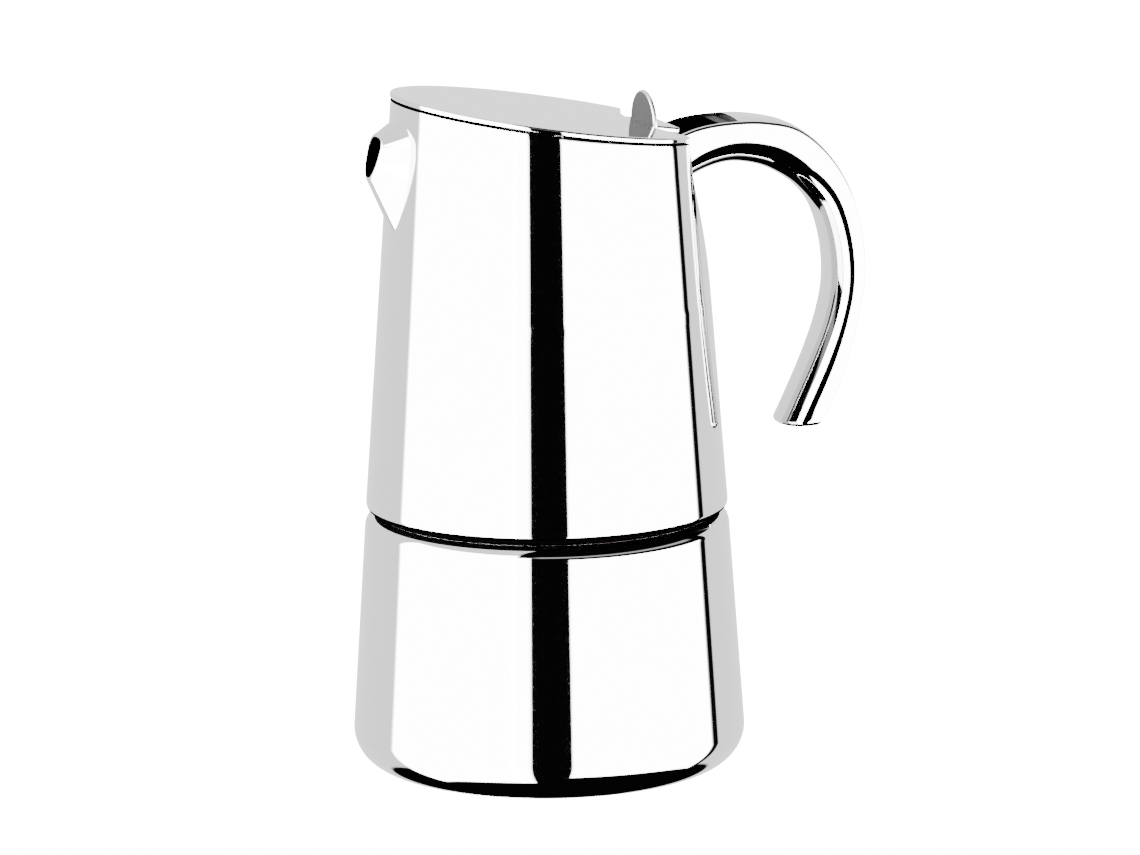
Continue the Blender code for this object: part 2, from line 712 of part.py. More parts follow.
def make_thumb_rest():
    """The black insert in the handle's top, a little below the steel round it."""
    half = POCKET_HALF - GAP
    rings = []
    start = POCKET_STEP + 0.2
    end = POCKET_BACK - GAP
    steps = 6
    last = len(HANDLE_PAIRS) - 1
    for i in range(steps + 1):
        x = start + (end - start) * i / steps
        height = top_height(x, last) - 0.5
        low = REST_FLOOR + GAP
        ring = [(x, -half, low), (x, half, low), (x, half, height - 0.5)]
        ring += [(x, half - 0.8, height - 0.1), (x, 0.0, height - 0.25)]
        ring += [(x, 0.8 - half, height - 0.1), (x, -half, height - 0.5)]
        rings.append(ring)
    loft("thumb_rest", rings, BLACK_PLASTIC)


def top_height(x, last):
    """The height of the handle's edge line at x, near its root."""
    at = 0.0
    while at < last and spline_point(HANDLE_PAIRS, at)[0] < x:
        at += 0.02
    return spline_point(HANDLE_PAIRS, at)[1] - HANDLE_CROWN


def along_y(name, outline, half, spec):
    """Sweep an (x, z) outline from -half to half along Y."""
    points = [(x, -half, z) for x, z in outline]
    return prism(name, points, (0, 0, 0), (0, 2 * half, 0), spec)


def make_hinge():
    """The bracket in the handle's pocket and the pin through it."""
    base = HINGE_FLOOR + GAP
    ear = arc(HINGE_X, HINGE_Z, KNUCKLE_RADIUS, 0.0, 180.0, 10)
    outline = [(HINGE_X + 2.0, base)] + ear + [(HINGE_X - 2.0, base)]
    bracket = along_y("hinge_bracket", outline, EAR_OUTER, SATIN_STEEL)
    low = (HINGE_X - 6.0, -KNUCKLE_HALF - GAP, base + 0.7)
    high = (HINGE_X + 6.0, KNUCKLE_HALF + GAP, HINGE_Z + 5.0)
    boolean(bracket, box("bracket_gap", low, high, None))
    bore = cylinder(
        "bracket_bore", PIN_RADIUS + GAP, (HINGE_X, -10, HINGE_Z), (HINGE_X, 10, HINGE_Z), None
    )
    boolean(bracket, bore)
    half = EAR_OUTER + 0.3
    start = (HINGE_X, -half, HINGE_Z)
    cylinder("hinge_pin", PIN_RADIUS, start, (HINGE_X, half, HINGE_Z), STEEL, 16)


def lid_plane(x):
    """Height of the lid's underside."""
    return rim_height(x) + GAP


def lid_outline():
    """(x, y) points round the lid: the jug's outline with a tongue at the back."""
    angles = jug_angles()
    first = SCOOP_STEPS // 2
    points = []
    for angle in angles[first:] + angles[:first]:
        x, y, _ = on_plane(angle, RIM_Z + GAP, LID_PROUD)
        if x < 0 or abs(y) > TONGUE_HALF + 0.2:
            points.append((x, y))
    root = points[-1][0] - 0.9
    tongue = [(root, -TONGUE_HALF), (TONGUE_END, -TONGUE_HALF)]
    tongue += [(TONGUE_END, TONGUE_HALF), (root, TONGUE_HALF)]
    return points + tongue


def make_lid():
    """The lid, its thumb tab and the knuckle under its tongue, about the hinge's axis."""
    outline = lid_outline()
    rings = []
    for shrink, rise in ((0.0, 0.0), (0.0, LID_THICK - 0.3), (0.3, LID_THICK)):
        scale = 1 - shrink / 41.0
        ring = [(x * scale, y * scale) for x, y in outline]
        rings.append([(x, y, lid_plane(x) + rise) for x, y in ring])
    plate = loft("lid_plate", rings, STEEL)

    base = lid_plane(TAB_X) + LID_THICK + GAP
    tab = [(0.0, y, z) for y, z in arc(0.0, base, TAB_RADIUS, 0.0, 180.0, 20)]
    tab = prism("lid_tab", tab, (TAB_X - TAB_THICK / 2, 0, 0), (TAB_THICK, 0, 0), STEEL)

    knuckle = arc(HINGE_X, HINGE_Z, KNUCKLE_RADIUS, -180.0, 40.0, 12)
    front = HINGE_X - KNUCKLE_RADIUS
    back = HINGE_X + 0.6
    knuckle += [(back, lid_plane(back) - GAP), (front, lid_plane(front) - GAP)]
    leaf = along_y("lid_hinge_leaf", knuckle, KNUCKLE_HALF, SATIN_STEEL)
    bore = cylinder(
        "leaf_bore", PIN_RADIUS + GAP, (HINGE_X, -10, HINGE_Z), (HINGE_X, 10, HINGE_Z), None
    )
    boolean(leaf, bore)

    axis = bpy.data.objects.new("lid_hinge_axis", None)
    PARTS.objects.link(axis)
    axis.location = (HINGE_X * MM, 0.0, HINGE_Z * MM)
    bpy.context.view_layer.update()
    for part in (plate, tab, leaf):
        part.parent = axis
        part.matrix_parent_inverse = axis.matrix_world.inverted()


clear_scene()
PARTS = collection("moka_pot", False)
CUTTERS = collection("cutters", True)
make_boiler()
make_valve()
make_funnel()
make_seal()
make_jug()
make_column()
make_spout()
make_handle()
make_thumb_rest()
make_hinge()
make_lid()
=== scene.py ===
"""A polished steel moka pot: the finished model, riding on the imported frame.

Lengths are in millimetres and MM turns them into metres. The handle points to +X,
the spout to -X and the safety valve to +Y.
"""

from math import acos, atan2, cos, degrees, hypot, pi, radians, sin, sqrt, tan

import bmesh
import bpy
from mathutils import Matrix, Vector


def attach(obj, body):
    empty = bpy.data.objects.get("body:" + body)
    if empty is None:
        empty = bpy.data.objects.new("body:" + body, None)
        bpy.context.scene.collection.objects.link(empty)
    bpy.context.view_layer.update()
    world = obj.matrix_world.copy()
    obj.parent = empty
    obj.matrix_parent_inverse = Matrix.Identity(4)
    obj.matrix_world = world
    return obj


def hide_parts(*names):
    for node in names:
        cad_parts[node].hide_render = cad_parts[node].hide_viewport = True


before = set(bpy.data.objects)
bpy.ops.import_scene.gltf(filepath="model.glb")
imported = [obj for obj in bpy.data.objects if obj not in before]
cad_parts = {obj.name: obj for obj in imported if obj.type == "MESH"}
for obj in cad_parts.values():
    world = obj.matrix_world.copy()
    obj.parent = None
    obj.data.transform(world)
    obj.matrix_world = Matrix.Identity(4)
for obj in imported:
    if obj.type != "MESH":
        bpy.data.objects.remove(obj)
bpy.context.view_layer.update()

MM = 0.001
SEGMENTS = 192  # facets round the large turned pieces
SMALL_SEGMENTS = 64  # facets round the small ones

WALL = 0.9
BOILER_R0 = 53.43
BOILER_SLOPE = 0.068
FOOT_RADIUS = 10.0
SHOULDER_Z = 69.2
SHOULDER_RADIUS = 4.0
NECK_OUTER = 41.4
NECK_INNER = 40.6
NECK_TOP = 79.0
BOILER_FLOOR = 6.2

VALVE_Z = 48.0
VALVE_SEAT_Y = 40.0
VALVE_STEM_R = 4.3
VALVE_HEX_FLATS = 12.0
VALVE_HEAD_Y = 52.4
VALVE_END_Y = 58.0
VALVE_CHAMBER_R = 3.1

FLANGE_Z = 79.3
FLANGE_RADIUS = 41.5
BASKET_RADIUS = 38.0
BASKET_TOP = 80.1
BASKET_LOW = 56.1
STEM_RADIUS = 5.5
STEM_BOTTOM = 10.0

JUG_R0 = 53.92
JUG_SLOPE = 0.074
JUG_BOTTOM = 69.9
JUG_EDGE_RADIUS = 2.0
JUG_LIP = 45.3
FLOOR_Z = 85.0
RING_INNER = 43.1
RING_OUTER = 44.6
RIM_Z = 175.25
RIM_SLANT = 0.157
SCOOP_CENTRE = 84.0
SCOOP_RADIUS = 58.3
SCOOP_Z = 162.0
SCOOP_RUN_OUT = 0.5
SCOOP_SOFTNESS = 4.0
RIM_CORNER_Z = 170.2
CORNER_BLEND = 0.8

SPOUT_BASE_TOP = 178.0
SPOUT_BASE_BOTTOM = 146.5
SPOUT_BASE_HALF = 9.2
SPOUT_MOUTH_TOP = (-46.6, 173.9)
SPOUT_MOUTH_BOTTOM = (-49.5, 162.0)
SPOUT_MOUTH_HALF = 5.0
SPOUT_WIDEST = 0.31
SPOUT_TOP_POWERS = (0.68, 0.84)
SPOUT_BASE_KEEL = 1.15
SPOUT_MOUTH_KEEL = 0.9
SPOUT_WALL = 0.8

HANDLE_HALF_WIDTH = 9.1
HANDLE_CROWN = 0.7
HANDLE_ROUNDNESS = 0.85
HANDLE_OUTER_RADIUS = 0.9
HANDLE_PAIRS = (
    (22.0, 166.4, 22.0, 146.5),
    (32.3, 169.2, 33.0, 152.0),
    (41.3, 172.0, 42.5, 157.8),
    (51.0, 172.9, 51.5, 160.3),
    (61.0, 172.3, 60.0, 159.2),
    (70.5, 169.5, 66.5, 156.4),
    (79.5, 161.8, 72.3, 152.2),
    (86.0, 150.9, 77.0, 146.0),
    (89.4, 137.5, 80.0, 136.3),
    (89.7, 125.5, 80.7, 126.0),
    (87.4, 114.0, 78.9, 116.5),
    (83.6, 101.4, 74.9, 106.0),
    (79.3, 91.6, 69.6, 94.8),
    (77.2, 88.9, 66.4, 88.4),
)
POCKET_HALF = 8.3
POCKET_FRONT = 31.5
POCKET_STEP = 39.2
POCKET_BACK = 52.6
HINGE_FLOOR = 164.4
REST_FLOOR = 168.3

HINGE_X = 34.6
HINGE_Z = 167.6
PIN_RADIUS = 0.9
KNUCKLE_RADIUS = 2.0
KNUCKLE_HALF = 5.3
EAR_OUTER = 7.6
GAP = 0.3
LID_THICK = 1.65
LID_UNDERSIDE = 0.22  # how far the visible underside sits above the CAD lid's
LID_EDGE = 0.6
LID_LOW_EDGE = 0.22
EDGE_STEPS = 5
LID_PROUD = 0.15
TONGUE_HALF = 8.0
TONGUE_END = 36.2
TAB_X = 28.8
TAB_RADIUS = 8.4
TAB_THICK = 1.2
TAB_SUNK = 0.4

# The camera and the lamps are placed in metres, and turned in degrees.
CAMERA_AZIMUTH = -20.0
CAMERA_ELEVATION = 11.7
CAMERA_ROLL = -0.61
CAMERA_LENS = 235.5
CAMERA_SHIFT = (0.0209, 0.0043)
CAMERA_AIM = (0.0, 0.0, 0.09)
CAMERA_DISTANCE = 2.0
LAMP_AIM = (0, 0, 0.1)
LAMP_SIZE = 0.9
LAMPS = (
    ("left", (-1.1, -1.2, 1.1), 5.0),
    ("right", (1.3, -0.6, 1.0), 5.0),
    ("top", (0.0, 0.4, 1.8), 4.0),
)
FLOOR_HALF = 3.0
FLOOR_DROP = 0.0004


# Materials


def add_node(tree, kind, values=None, **settings):
    """A shader node with its settings and its sockets' values or links."""
    made = tree.nodes.new(kind)
    for key, value in settings.items():
        setattr(made, key, value)
    for key, value in (values or {}).items():
        if isinstance(value, bpy.types.NodeSocket):
            tree.links.new(value, made.inputs[key])
        else:
            made.inputs[key].default_value = value
    return made


def steel_like(name, colour, roughness, metallic=1.0):
    """A new material, its tree, its shader and its object coordinates."""
    made = bpy.data.materials.new(name)
    made.use_nodes = True
    tree = made.node_tree
    shader = tree.nodes["Principled BSDF"]
    shader.inputs["Base Color"].default_value = (*colour, 1.0)
    shader.inputs["Roughness"].default_value = roughness
    shader.inputs["Metallic"].default_value = metallic
    place = add_node(tree, "ShaderNodeTexCoord").outputs["Object"]
    return made, tree, shader, place


def ranged(tree, value, low, high):
    """A 0 to 1 value mapped to low to high."""
    spread = {"Value": value, "From Min": 0.3, "From Max": 0.7, "To Min": low, "To Max": high}
    return add_node(tree, "ShaderNodeMapRange", spread).outputs["Result"]


def noise(tree, place, scale, detail=2.0):
    made = add_node(tree, "ShaderNodeTexNoise", {"Vector": place, "Scale": scale, "Detail": detail})
    return made.outputs["Fac"]


def bump(tree, shader, height, strength, distance, below=None):
    values = {"Height": height, "Strength": strength, "Distance": distance}
    if below is not None:
        values["Normal"] = below
    made = add_node(tree, "ShaderNodeBump", values)
    tree.links.new(made.outputs["Normal"], shader.inputs["Normal"])
    return made.outputs["Normal"]


def around(tree, place):
    """Coordinates of (distance from the axis, height), for marks that run round it."""
    parts = add_node(tree, "ShaderNodeSeparateXYZ", {"Vector": place})
    across = {"X": parts.outputs["X"], "Y": parts.outputs["Y"]}
    flat = add_node(tree, "ShaderNodeCombineXYZ", across)
    far = add_node(tree, "ShaderNodeVectorMath", {0: flat.outputs[0]}, operation="LENGTH")
    values = {"X": far.outputs["Value"], "Z": parts.outputs["Z"]}
    return add_node(tree, "ShaderNodeCombineXYZ", values).outputs[0]


def polished_steel():
    made, tree, shader, place = steel_like("polished_steel", (0.66, 0.66, 0.665), 0.04)
    fine = noise(tree, place, 700.0, 4.0)
    tree.links.new(ranged(tree, fine, 0.012, 0.035), shader.inputs["Roughness"])
    wave = noise(tree, place, 22.0, 1.0)
    bump(tree, shader, wave, 0.06, 0.0006)
    return made


def turned_metal(name, colour, roughness, spread, lines, depth):
    """Metal with fine marks that run round the pot's axis."""
    made, tree, shader, place = steel_like(name, colour, roughness)
    marks = noise(tree, around(tree, place), lines, 3.0)
    cloud = noise(tree, place, 120.0, 3.0)
    uneven = ranged(tree, cloud, roughness - spread, roughness + spread)
    tree.links.new(uneven, shader.inputs["Roughness"])
    bump(tree, shader, marks, depth, 0.00005)
    return made


def soft_material(name, colour, roughness, grain, depth):
    """A plastic or rubber with a fine moulded grain and slight cloudiness."""
    made, tree, shader, place = steel_like(name, colour, roughness, 0.0)
    cloud = noise(tree, place, 90.0, 3.0)
    darker = tuple(c * 0.86 for c in colour)
    mix = add_node(tree, "ShaderNodeMix", data_type="RGBA")
    tree.links.new(cloud, mix.inputs["Factor"])
    mix.inputs["A"].default_value = (*darker, 1.0)
    mix.inputs["B"].default_value = (*colour, 1.0)
    tree.links.new(mix.outputs["Result"], shader.inputs["Base Color"])
    speck = noise(tree, place, grain, 2.0)
    uneven = ranged(tree, speck, roughness - 0.06, roughness + 0.08)
    tree.links.new(uneven, shader.inputs["Roughness"])
    bump(tree, shader, speck, depth, 0.00008)
    return made


STEEL = polished_steel()
SATIN = turned_metal("satin_steel", (0.6, 0.6, 0.605), 0.27, 0.05, 2600.0, 0.25)
ALUMINIUM = turned_metal("aluminium", (0.66, 0.67, 0.68), 0.38, 0.06, 1800.0, 0.35)
BRASS = turned_metal("brass", (0.72, 0.52, 0.24), 0.24, 0.05, 2400.0, 0.25)
SILICONE = soft_material("silicone", (0.82, 0.81, 0.77), 0.5, 900.0, 0.15)
PLASTIC = soft_material("black_plastic", (0.009, 0.009, 0.0095), 0.36, 2200.0, 0.25)
FINISH = {
    "polished_steel": STEEL,
    "satin_steel": SATIN,
    "aluminium": ALUMINIUM,
    "brass": BRASS,
    "silicone": SILICONE,
    "black_plastic": PLASTIC,
}
PLASTIC.node_tree.nodes["Principled BSDF"].inputs["Specular IOR Level"].default_value = 0.03
# Painted shade: a black with no specular, put on the faces of gaps, hollows and undersides that
# fall into shadow; it is not a finish of the steel.
PAINTED_SHADE = soft_material("painted_shade_black", (0.004, 0.004, 0.0042), 0.6, 900.0, 0.1)
PAINTED_SHADE.node_tree.nodes["Principled BSDF"].inputs["Specular IOR Level"].default_value = 0.0
BLASTED = turned_metal("blasted_steel", (0.06, 0.06, 0.061), 0.34, 0.04, 1500.0, 0.2)


# Mesh tools


def mesh_object(name, bm):
    bmesh.ops.recalc_face_normals(bm, faces=bm.faces)
    mesh = bpy.data.meshes.new(name)
    bm.to_mesh(mesh)
    bm.free()
    made = bpy.data.objects.new(name, mesh)
    bpy.context.scene.collection.objects.link(made)
    return made


def piece(name, bm, body, nodes, slot, sharp=32.0):
    """A finished piece that rides on a body and stands for the CAD nodes."""
    made = mesh_object(name, bm)
    made.data.shade_smooth()
    made.data.set_sharp_from_angle(angle=radians(sharp))
    made.data.materials.append(FINISH[slot])
    even = made.modifiers.new("even_normals", "WEIGHTED_NORMAL")
    even.keep_sharp = True
    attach(made, body)
    if nodes:
        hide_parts(*nodes)
    return made


def taken_from(bm, *cutters):
    """The bmesh less each cutter."""
    part = mesh_object("cut_part", bm)
    others = [mesh_object("cutter", cutter) for cutter in cutters]
    for other in others:
        cut = part.modifiers.new("cut", "BOOLEAN")
        cut.operation = "DIFFERENCE"
        cut.object = other
    bpy.context.view_layer.update()
    graph = bpy.context.evaluated_depsgraph_get()
    mesh = bpy.data.meshes.new_from_object(part.evaluated_get(graph))
    made = bmesh.new()
    made.from_mesh(mesh)
    bmesh.ops.remove_doubles(made, verts=made.verts, dist=0.00001)
    bmesh.ops.dissolve_degenerate(made, edges=made.edges, dist=0.000002)
    for obj in [part] + others:
        bpy.data.objects.remove(obj)
    return made


def skin(rings, closed=False):
    """Quads between rings of equal point count; closed joins the last to the first."""
    bm = bmesh.new()
    loops = [[bm.verts.new(Vector(p) * MM) for p in ring] for ring in rings]
    spans = list(zip(loops, loops[1:]))
    if closed:
        spans.append((loops[-1], loops[0]))
    else:
        bm.faces.new(loops[0])
        bm.faces.new(loops[-1])
    for lower, upper in spans:
        for i in range(len(lower)):
            j = (i + 1) % len(lower)
            bm.faces.new((lower[i], lower[j], upper[j], upper[i]))
    return bm


def turned(profile, segments=SEGMENTS, y_axis_at=None):
    """Turn a closed profile of (radius, height); y_axis_at turns it about the valve's axis."""
    bm = bmesh.new()
    turns = [2 * pi * i / segments for i in range(segments)]

    def place(r, h, a):
        if y_axis_at is None:
            return Vector((r * cos(a), r * sin(a), h)) * MM
        return Vector((r * cos(a), y_axis_at + h, VALVE_Z + r * sin(a))) * MM

    loops = []
    for r, h in profile:
        count = turns if r > 0 else turns[:1]
        loops.append([bm.verts.new(place(r, h, a)) for a in count])
    spans = list(zip(loops, loops[1:]))
    if profile[0][0] > 0:
        spans.append((loops[-1], loops[0]))
    for upper, lower in spans:
        for i in range(segments):
            j = (i + 1) % segments
            corners = [upper[i % len(upper)], upper[j % len(upper)]]
            corners += [lower[j % len(lower)], lower[i % len(lower)]]
            corners = list(dict.fromkeys(corners))
            if len(corners) > 2:
                bm.faces.new(corners)
    return bm


def rounded(profile, radius, steps=4):
    """The profile with its corners rounded off; one that starts on the axis keeps its ends."""
    closed = profile[0][0] > 0
    count = len(profile)
    points = []
    for i, here in enumerate(profile):
        if not closed and i in (0, count - 1):
            points.append(here)
            continue
        here = Vector(here)
        before = Vector(profile[i - 1]) - here
        after = Vector(profile[(i + 1) % count]) - here
        bend = pi - before.angle(after)
        if bend < radians(14):
            points.append(tuple(here))
            continue
        reach = min(radius * tan(bend / 2), 0.42 * before.length, 0.42 * after.length)
        start = here + before.normalized() * reach
        end = here + after.normalized() * reach
        for k in range(steps + 1):
            t = k / steps
            points.append(tuple(start * (1 - t) ** 2 + here * 2 * t * (1 - t) + end * t * t))
    return points


def arc(centre_r, centre_z, radius, start, end, steps):
    """Points on an arc, with angles in degrees from +r towards +z."""
    turns = [radians(start + (end - start) * i / steps) for i in range(steps + 1)]
    return [(centre_r + radius * cos(a), centre_z + radius * sin(a)) for a in turns]


def block(low, high):
    bm = bmesh.new()
    bmesh.ops.create_cube(bm, size=1.0)
    bmesh.ops.scale(bm, vec=[(b - a) * MM for a, b in zip(low, high)], verts=bm.verts)
    middle = [(b + a) * MM / 2 for a, b in zip(low, high)]
    bmesh.ops.translate(bm, vec=middle, verts=bm.verts)
    return bm


def along_y(outline, half, edge=0.25):
    """An (x, z) outline swept along Y, with its long edges eased."""
    middle_x = sum(x for x, _ in outline) / len(outline)
    middle_z = sum(z for _, z in outline) / len(outline)
    rings = []
    for y, inset in ((-half, edge), (-half + edge * 0.3, edge * 0.3), (-half + edge, 0.0),
                     (half - edge, 0.0), (half - edge * 0.3, edge * 0.3), (half, edge)):
        ring = []
        for x, z in outline:
            away = Vector((x - middle_x, z - middle_z))
            pulled = away * (1 - inset / away.length)
            ring.append((middle_x + pulled.x, y, middle_z + pulled.y))
        rings.append(ring)
    return skin(rings)


def thread(radius, crest, low, high, turns):
    """A helical ridge from a root radius to a crest radius, run out at both ends."""
    per_turn = 96
    count = int(turns * per_turn)
    rings = []
    for i in range(count + 1):
        angle = 2 * pi * i / per_turn
        z = low + (high - low) * i / count
        fade = min(1.0, i / 16, (count - i) / 16)
        top = radius + (crest - radius) * max(fade, 0.06)
        sunk = radius - (crest - radius) * 0.5
        section = ((sunk, -1.25), (radius, -1.05), (top, -0.4))
        section += ((top, 0.4), (radius, 1.05), (sunk, 1.25))
        rings.append([(r * cos(angle), r * sin(angle), z + dz) for r, dz in section])
    return skin(rings)


def perforated(radius, low, high, spacing, hole, reach):
    """A disc with round holes in a close-packed pattern, its edges slightly eased."""
    curve = bpy.data.curves.new("perforated", "CURVE")
    curve.dimensions = "2D"
    curve.fill_mode = "BOTH"
    ease = 0.08
    curve.extrude = ((high - low) / 2 - ease) * MM
    curve.bevel_depth = ease * MM
    curve.bevel_resolution = 1

    def ring(x, y, r, count):
        spline = curve.splines.new("POLY")
        spline.points.add(count - 1)
        for i in range(count):
            a = 2 * pi * i / count
            spline.points[i].co = ((x + r * cos(a)) * MM, (y + r * sin(a)) * MM, 0.0, 1.0)
        spline.use_cyclic_u = True

    ring(0.0, 0.0, radius - ease, SEGMENTS)
    rows = int(reach / spacing) + 2
    for row in range(-rows, rows + 1):
        for column in range(-rows, rows + 1):
            x = (column + 0.5 * (row % 2)) * spacing
            y = row * spacing * sqrt(3) / 2
            if hypot(x, y) <= reach:
                ring(x, y, hole + ease, 10)
    guide = bpy.data.objects.new("perforated", curve)
    bpy.context.scene.collection.objects.link(guide)
    bpy.context.view_layer.update()
    graph = bpy.context.evaluated_depsgraph_get()
    mesh = bpy.data.meshes.new_from_object(guide.evaluated_get(graph))
    bpy.data.objects.remove(guide)
    bm = bmesh.new()
    bm.from_mesh(mesh)
    bmesh.ops.remove_doubles(bm, verts=bm.verts, dist=0.000005)
    bmesh.ops.translate(bm, vec=(0, 0, (low + high) / 2 * MM), verts=bm.verts)
    return bm


# Boiler and valve


def boiler_radius(z):
    return BOILER_R0 - BOILER_SLOPE * z


def make_boiler():
    lean = degrees(atan2(BOILER_SLOPE, 1.0))
    foot_r = boiler_radius(FOOT_RADIUS) - FOOT_RADIUS
    shoulder_z = SHOULDER_Z - SHOULDER_RADIUS
    shoulder_r = boiler_radius(shoulder_z) - SHOULDER_RADIUS
    foot = arc(foot_r, FOOT_RADIUS, FOOT_RADIUS, lean, -64.0, 28)
    inner_foot = arc(foot_r, FOOT_RADIUS + 5.3, FOOT_RADIUS - 0.9, -90.0, lean, 16)
    shoulder = arc(shoulder_r, shoulder_z, SHOULDER_RADIUS, 90.0, lean, 14)
    inner = arc(shoulder_r, shoulder_z, SHOULDER_RADIUS - WALL, lean, 90.0, 8)
    neck = rounded(
        [(NECK_INNER, SHOULDER_Z - WALL), (NECK_INNER, NECK_TOP), (NECK_OUTER, NECK_TOP),
         (NECK_OUTER, SHOULDER_Z + 1.0), (NECK_OUTER + 1.0, SHOULDER_Z)], 0.35)[5:-5]
    neck = [(NECK_INNER, SHOULDER_Z - WALL)] + neck + [(NECK_OUTER + 1.0, SHOULDER_Z)]
    profile = [(0.0, BOILER_FLOOR)] + inner_foot + inner + neck + shoulder + foot
    profile += [(46.3, 5.1), (0.0, 5.1)]
    piece("boiler_body", turned(profile, 256), "boiler", ["boiler_shell"], "polished_steel")
    ridge = thread(NECK_OUTER, 42.0, SHOULDER_Z + 2.6, NECK_TOP - 2.2, 1.75)
    piece("neck_thread", ridge, "boiler", [], "polished_steel")

    core = [(0.0, 4.8), (42.0, 4.8), (42.0, 1.2), (0.0, 1.2)]
    piece("base_disc", turned(rounded(core, 0.3)), "boiler", ["base_core_disc"], "aluminium")
    under = arc(foot_r, FOOT_RADIUS, FOOT_RADIUS, -65.5, -90.0, 10)
    cap = [(0.0, 0.9), (42.3, 0.9), (42.3, 4.8), (45.7, 4.8)] + under
    cap += [(31.0, 0.0), (30.6, 0.25), (29.4, 0.25), (29.0, 0.0)]
    cap += [(6.0, 0.0), (5.6, 0.2), (0.0, 0.2)]
    piece("base_cover", turned(cap, 256), "boiler", ["base_cap"], "polished_steel")


def hexagon(flats, count, most=99.0):
    """Points round a hexagon, cut back to a circle of radius most."""
    points = []
    for i in range(count):
        angle = 2 * pi * i / count
        from_flat = (angle + pi / 6) % (pi / 3) - pi / 6
        radius = min(flats / 2 / cos(from_flat), most)
        points.append((radius * cos(angle), radius * sin(angle)))
    return points


def circle(radius, count):
    turns = [2 * pi * i / count for i in range(count)]
    return [(radius * cos(a), radius * sin(a)) for a in turns]


def valve_skin(sections):
    rings = [[(x, y, VALVE_Z + z) for x, z in outline] for outline, y in sections]
    return skin(rings, closed=True)


def make_valve():
    n = 72
    head_end = VALVE_HEAD_Y + 4.0
    full = hexagon(VALVE_HEX_FLATS, n)
    eased = hexagon(VALVE_HEX_FLATS, n, 6.35)
    body = [
        (circle(1.7, n), VALVE_SEAT_Y),
        (circle(VALVE_STEM_R - 0.3, n), VALVE_SEAT_Y),
        (circle(VALVE_STEM_R, n), VALVE_SEAT_Y + 0.3),
        (circle(VALVE_STEM_R, n), VALVE_HEAD_Y),
        (eased, VALVE_HEAD_Y),
        (full, VALVE_HEAD_Y + 0.35),
        (full, head_end - 0.35),
        (eased, head_end),
        (circle(4.8, n), head_end),
        (circle(4.6, n), VALVE_END_Y - 0.4),
        (circle(4.2, n), VALVE_END_Y),
        (circle(VALVE_CHAMBER_R + 0.2, n), VALVE_END_Y),
        (circle(VALVE_CHAMBER_R, n), VALVE_END_Y - 0.2),
        (circle(VALVE_CHAMBER_R, n), VALVE_SEAT_Y + 1.5),
        (circle(1.7, n), VALVE_SEAT_Y + 1.5),
    ]
    piece("valve_housing", valve_skin(body), "boiler", ["valve_body"], "brass", 20.0)
    nut = [
        (circle(4.5, n), 45.0), (eased, 45.0), (full, 45.35), (full, 47.65), (eased, 48.0),
        (circle(4.5, n), 48.0),
    ]
    piece("valve_inner_nut", valve_skin(nut), "boiler", ["valve_nut"], "brass", 20.0)
    washer = rounded([(6.6, 1.0), (6.6, 0.0), (4.6, 0.0), (4.6, 1.0)], 0.35)
    disc = turned(washer, SMALL_SEGMENTS, 51.0)
    piece("valve_seal", disc, "boiler", ["valve_washer"], "silicone")
    keeper = rounded([(2.8, 1.4), (2.8, 0.0), (1.6, 0.0), (1.6, 1.4)], 0.2)
    ring = turned(keeper, SMALL_SEGMENTS, 56.0)
    piece("valve_keeper", ring, "boiler", ["valve_retainer"], "satin_steel")
    rod = [(0.0, 19.2), (0.6, 19.15), (0.95, 18.9), (1.1, 18.5), (1.1, 17.4), (0.9, 17.2)]
    rod += [(0.9, 16.9), (1.1, 16.7), (1.1, 3.0), (2.7, 2.4), (2.7, 1.4), (1.9, 0.0), (0.0, 0.0)]
    plunger = turned(rounded(rod, 0.12, 2), SMALL_SEGMENTS, VALVE_SEAT_Y + 1.9)
    piece("valve_rod", plunger, "valve_plunger", ["valve_plunger"], "brass")

    rings = []
    count = 240
    for i in range(count + 1):
        angle = 2 * pi * 6 * i / count
        settle = 0.5 - 0.5 * cos(pi * i / count)
        along = 45.15 + 9.4 * (0.6 * i / count + 0.4 * settle)
        ring = []
        for k in range(8):
            b = 2 * pi * k / 8
            r = 2.1 + 0.28 * cos(b)
            ring.append((r * cos(angle), along + 0.28 * sin(b), VALVE_Z + r * sin(angle)))
        rings.append(ring)
    piece("valve_coil", skin(rings), "valve_plunger", ["valve_spring"], "satin_steel", 60.0)


# Funnel, gasket and filter


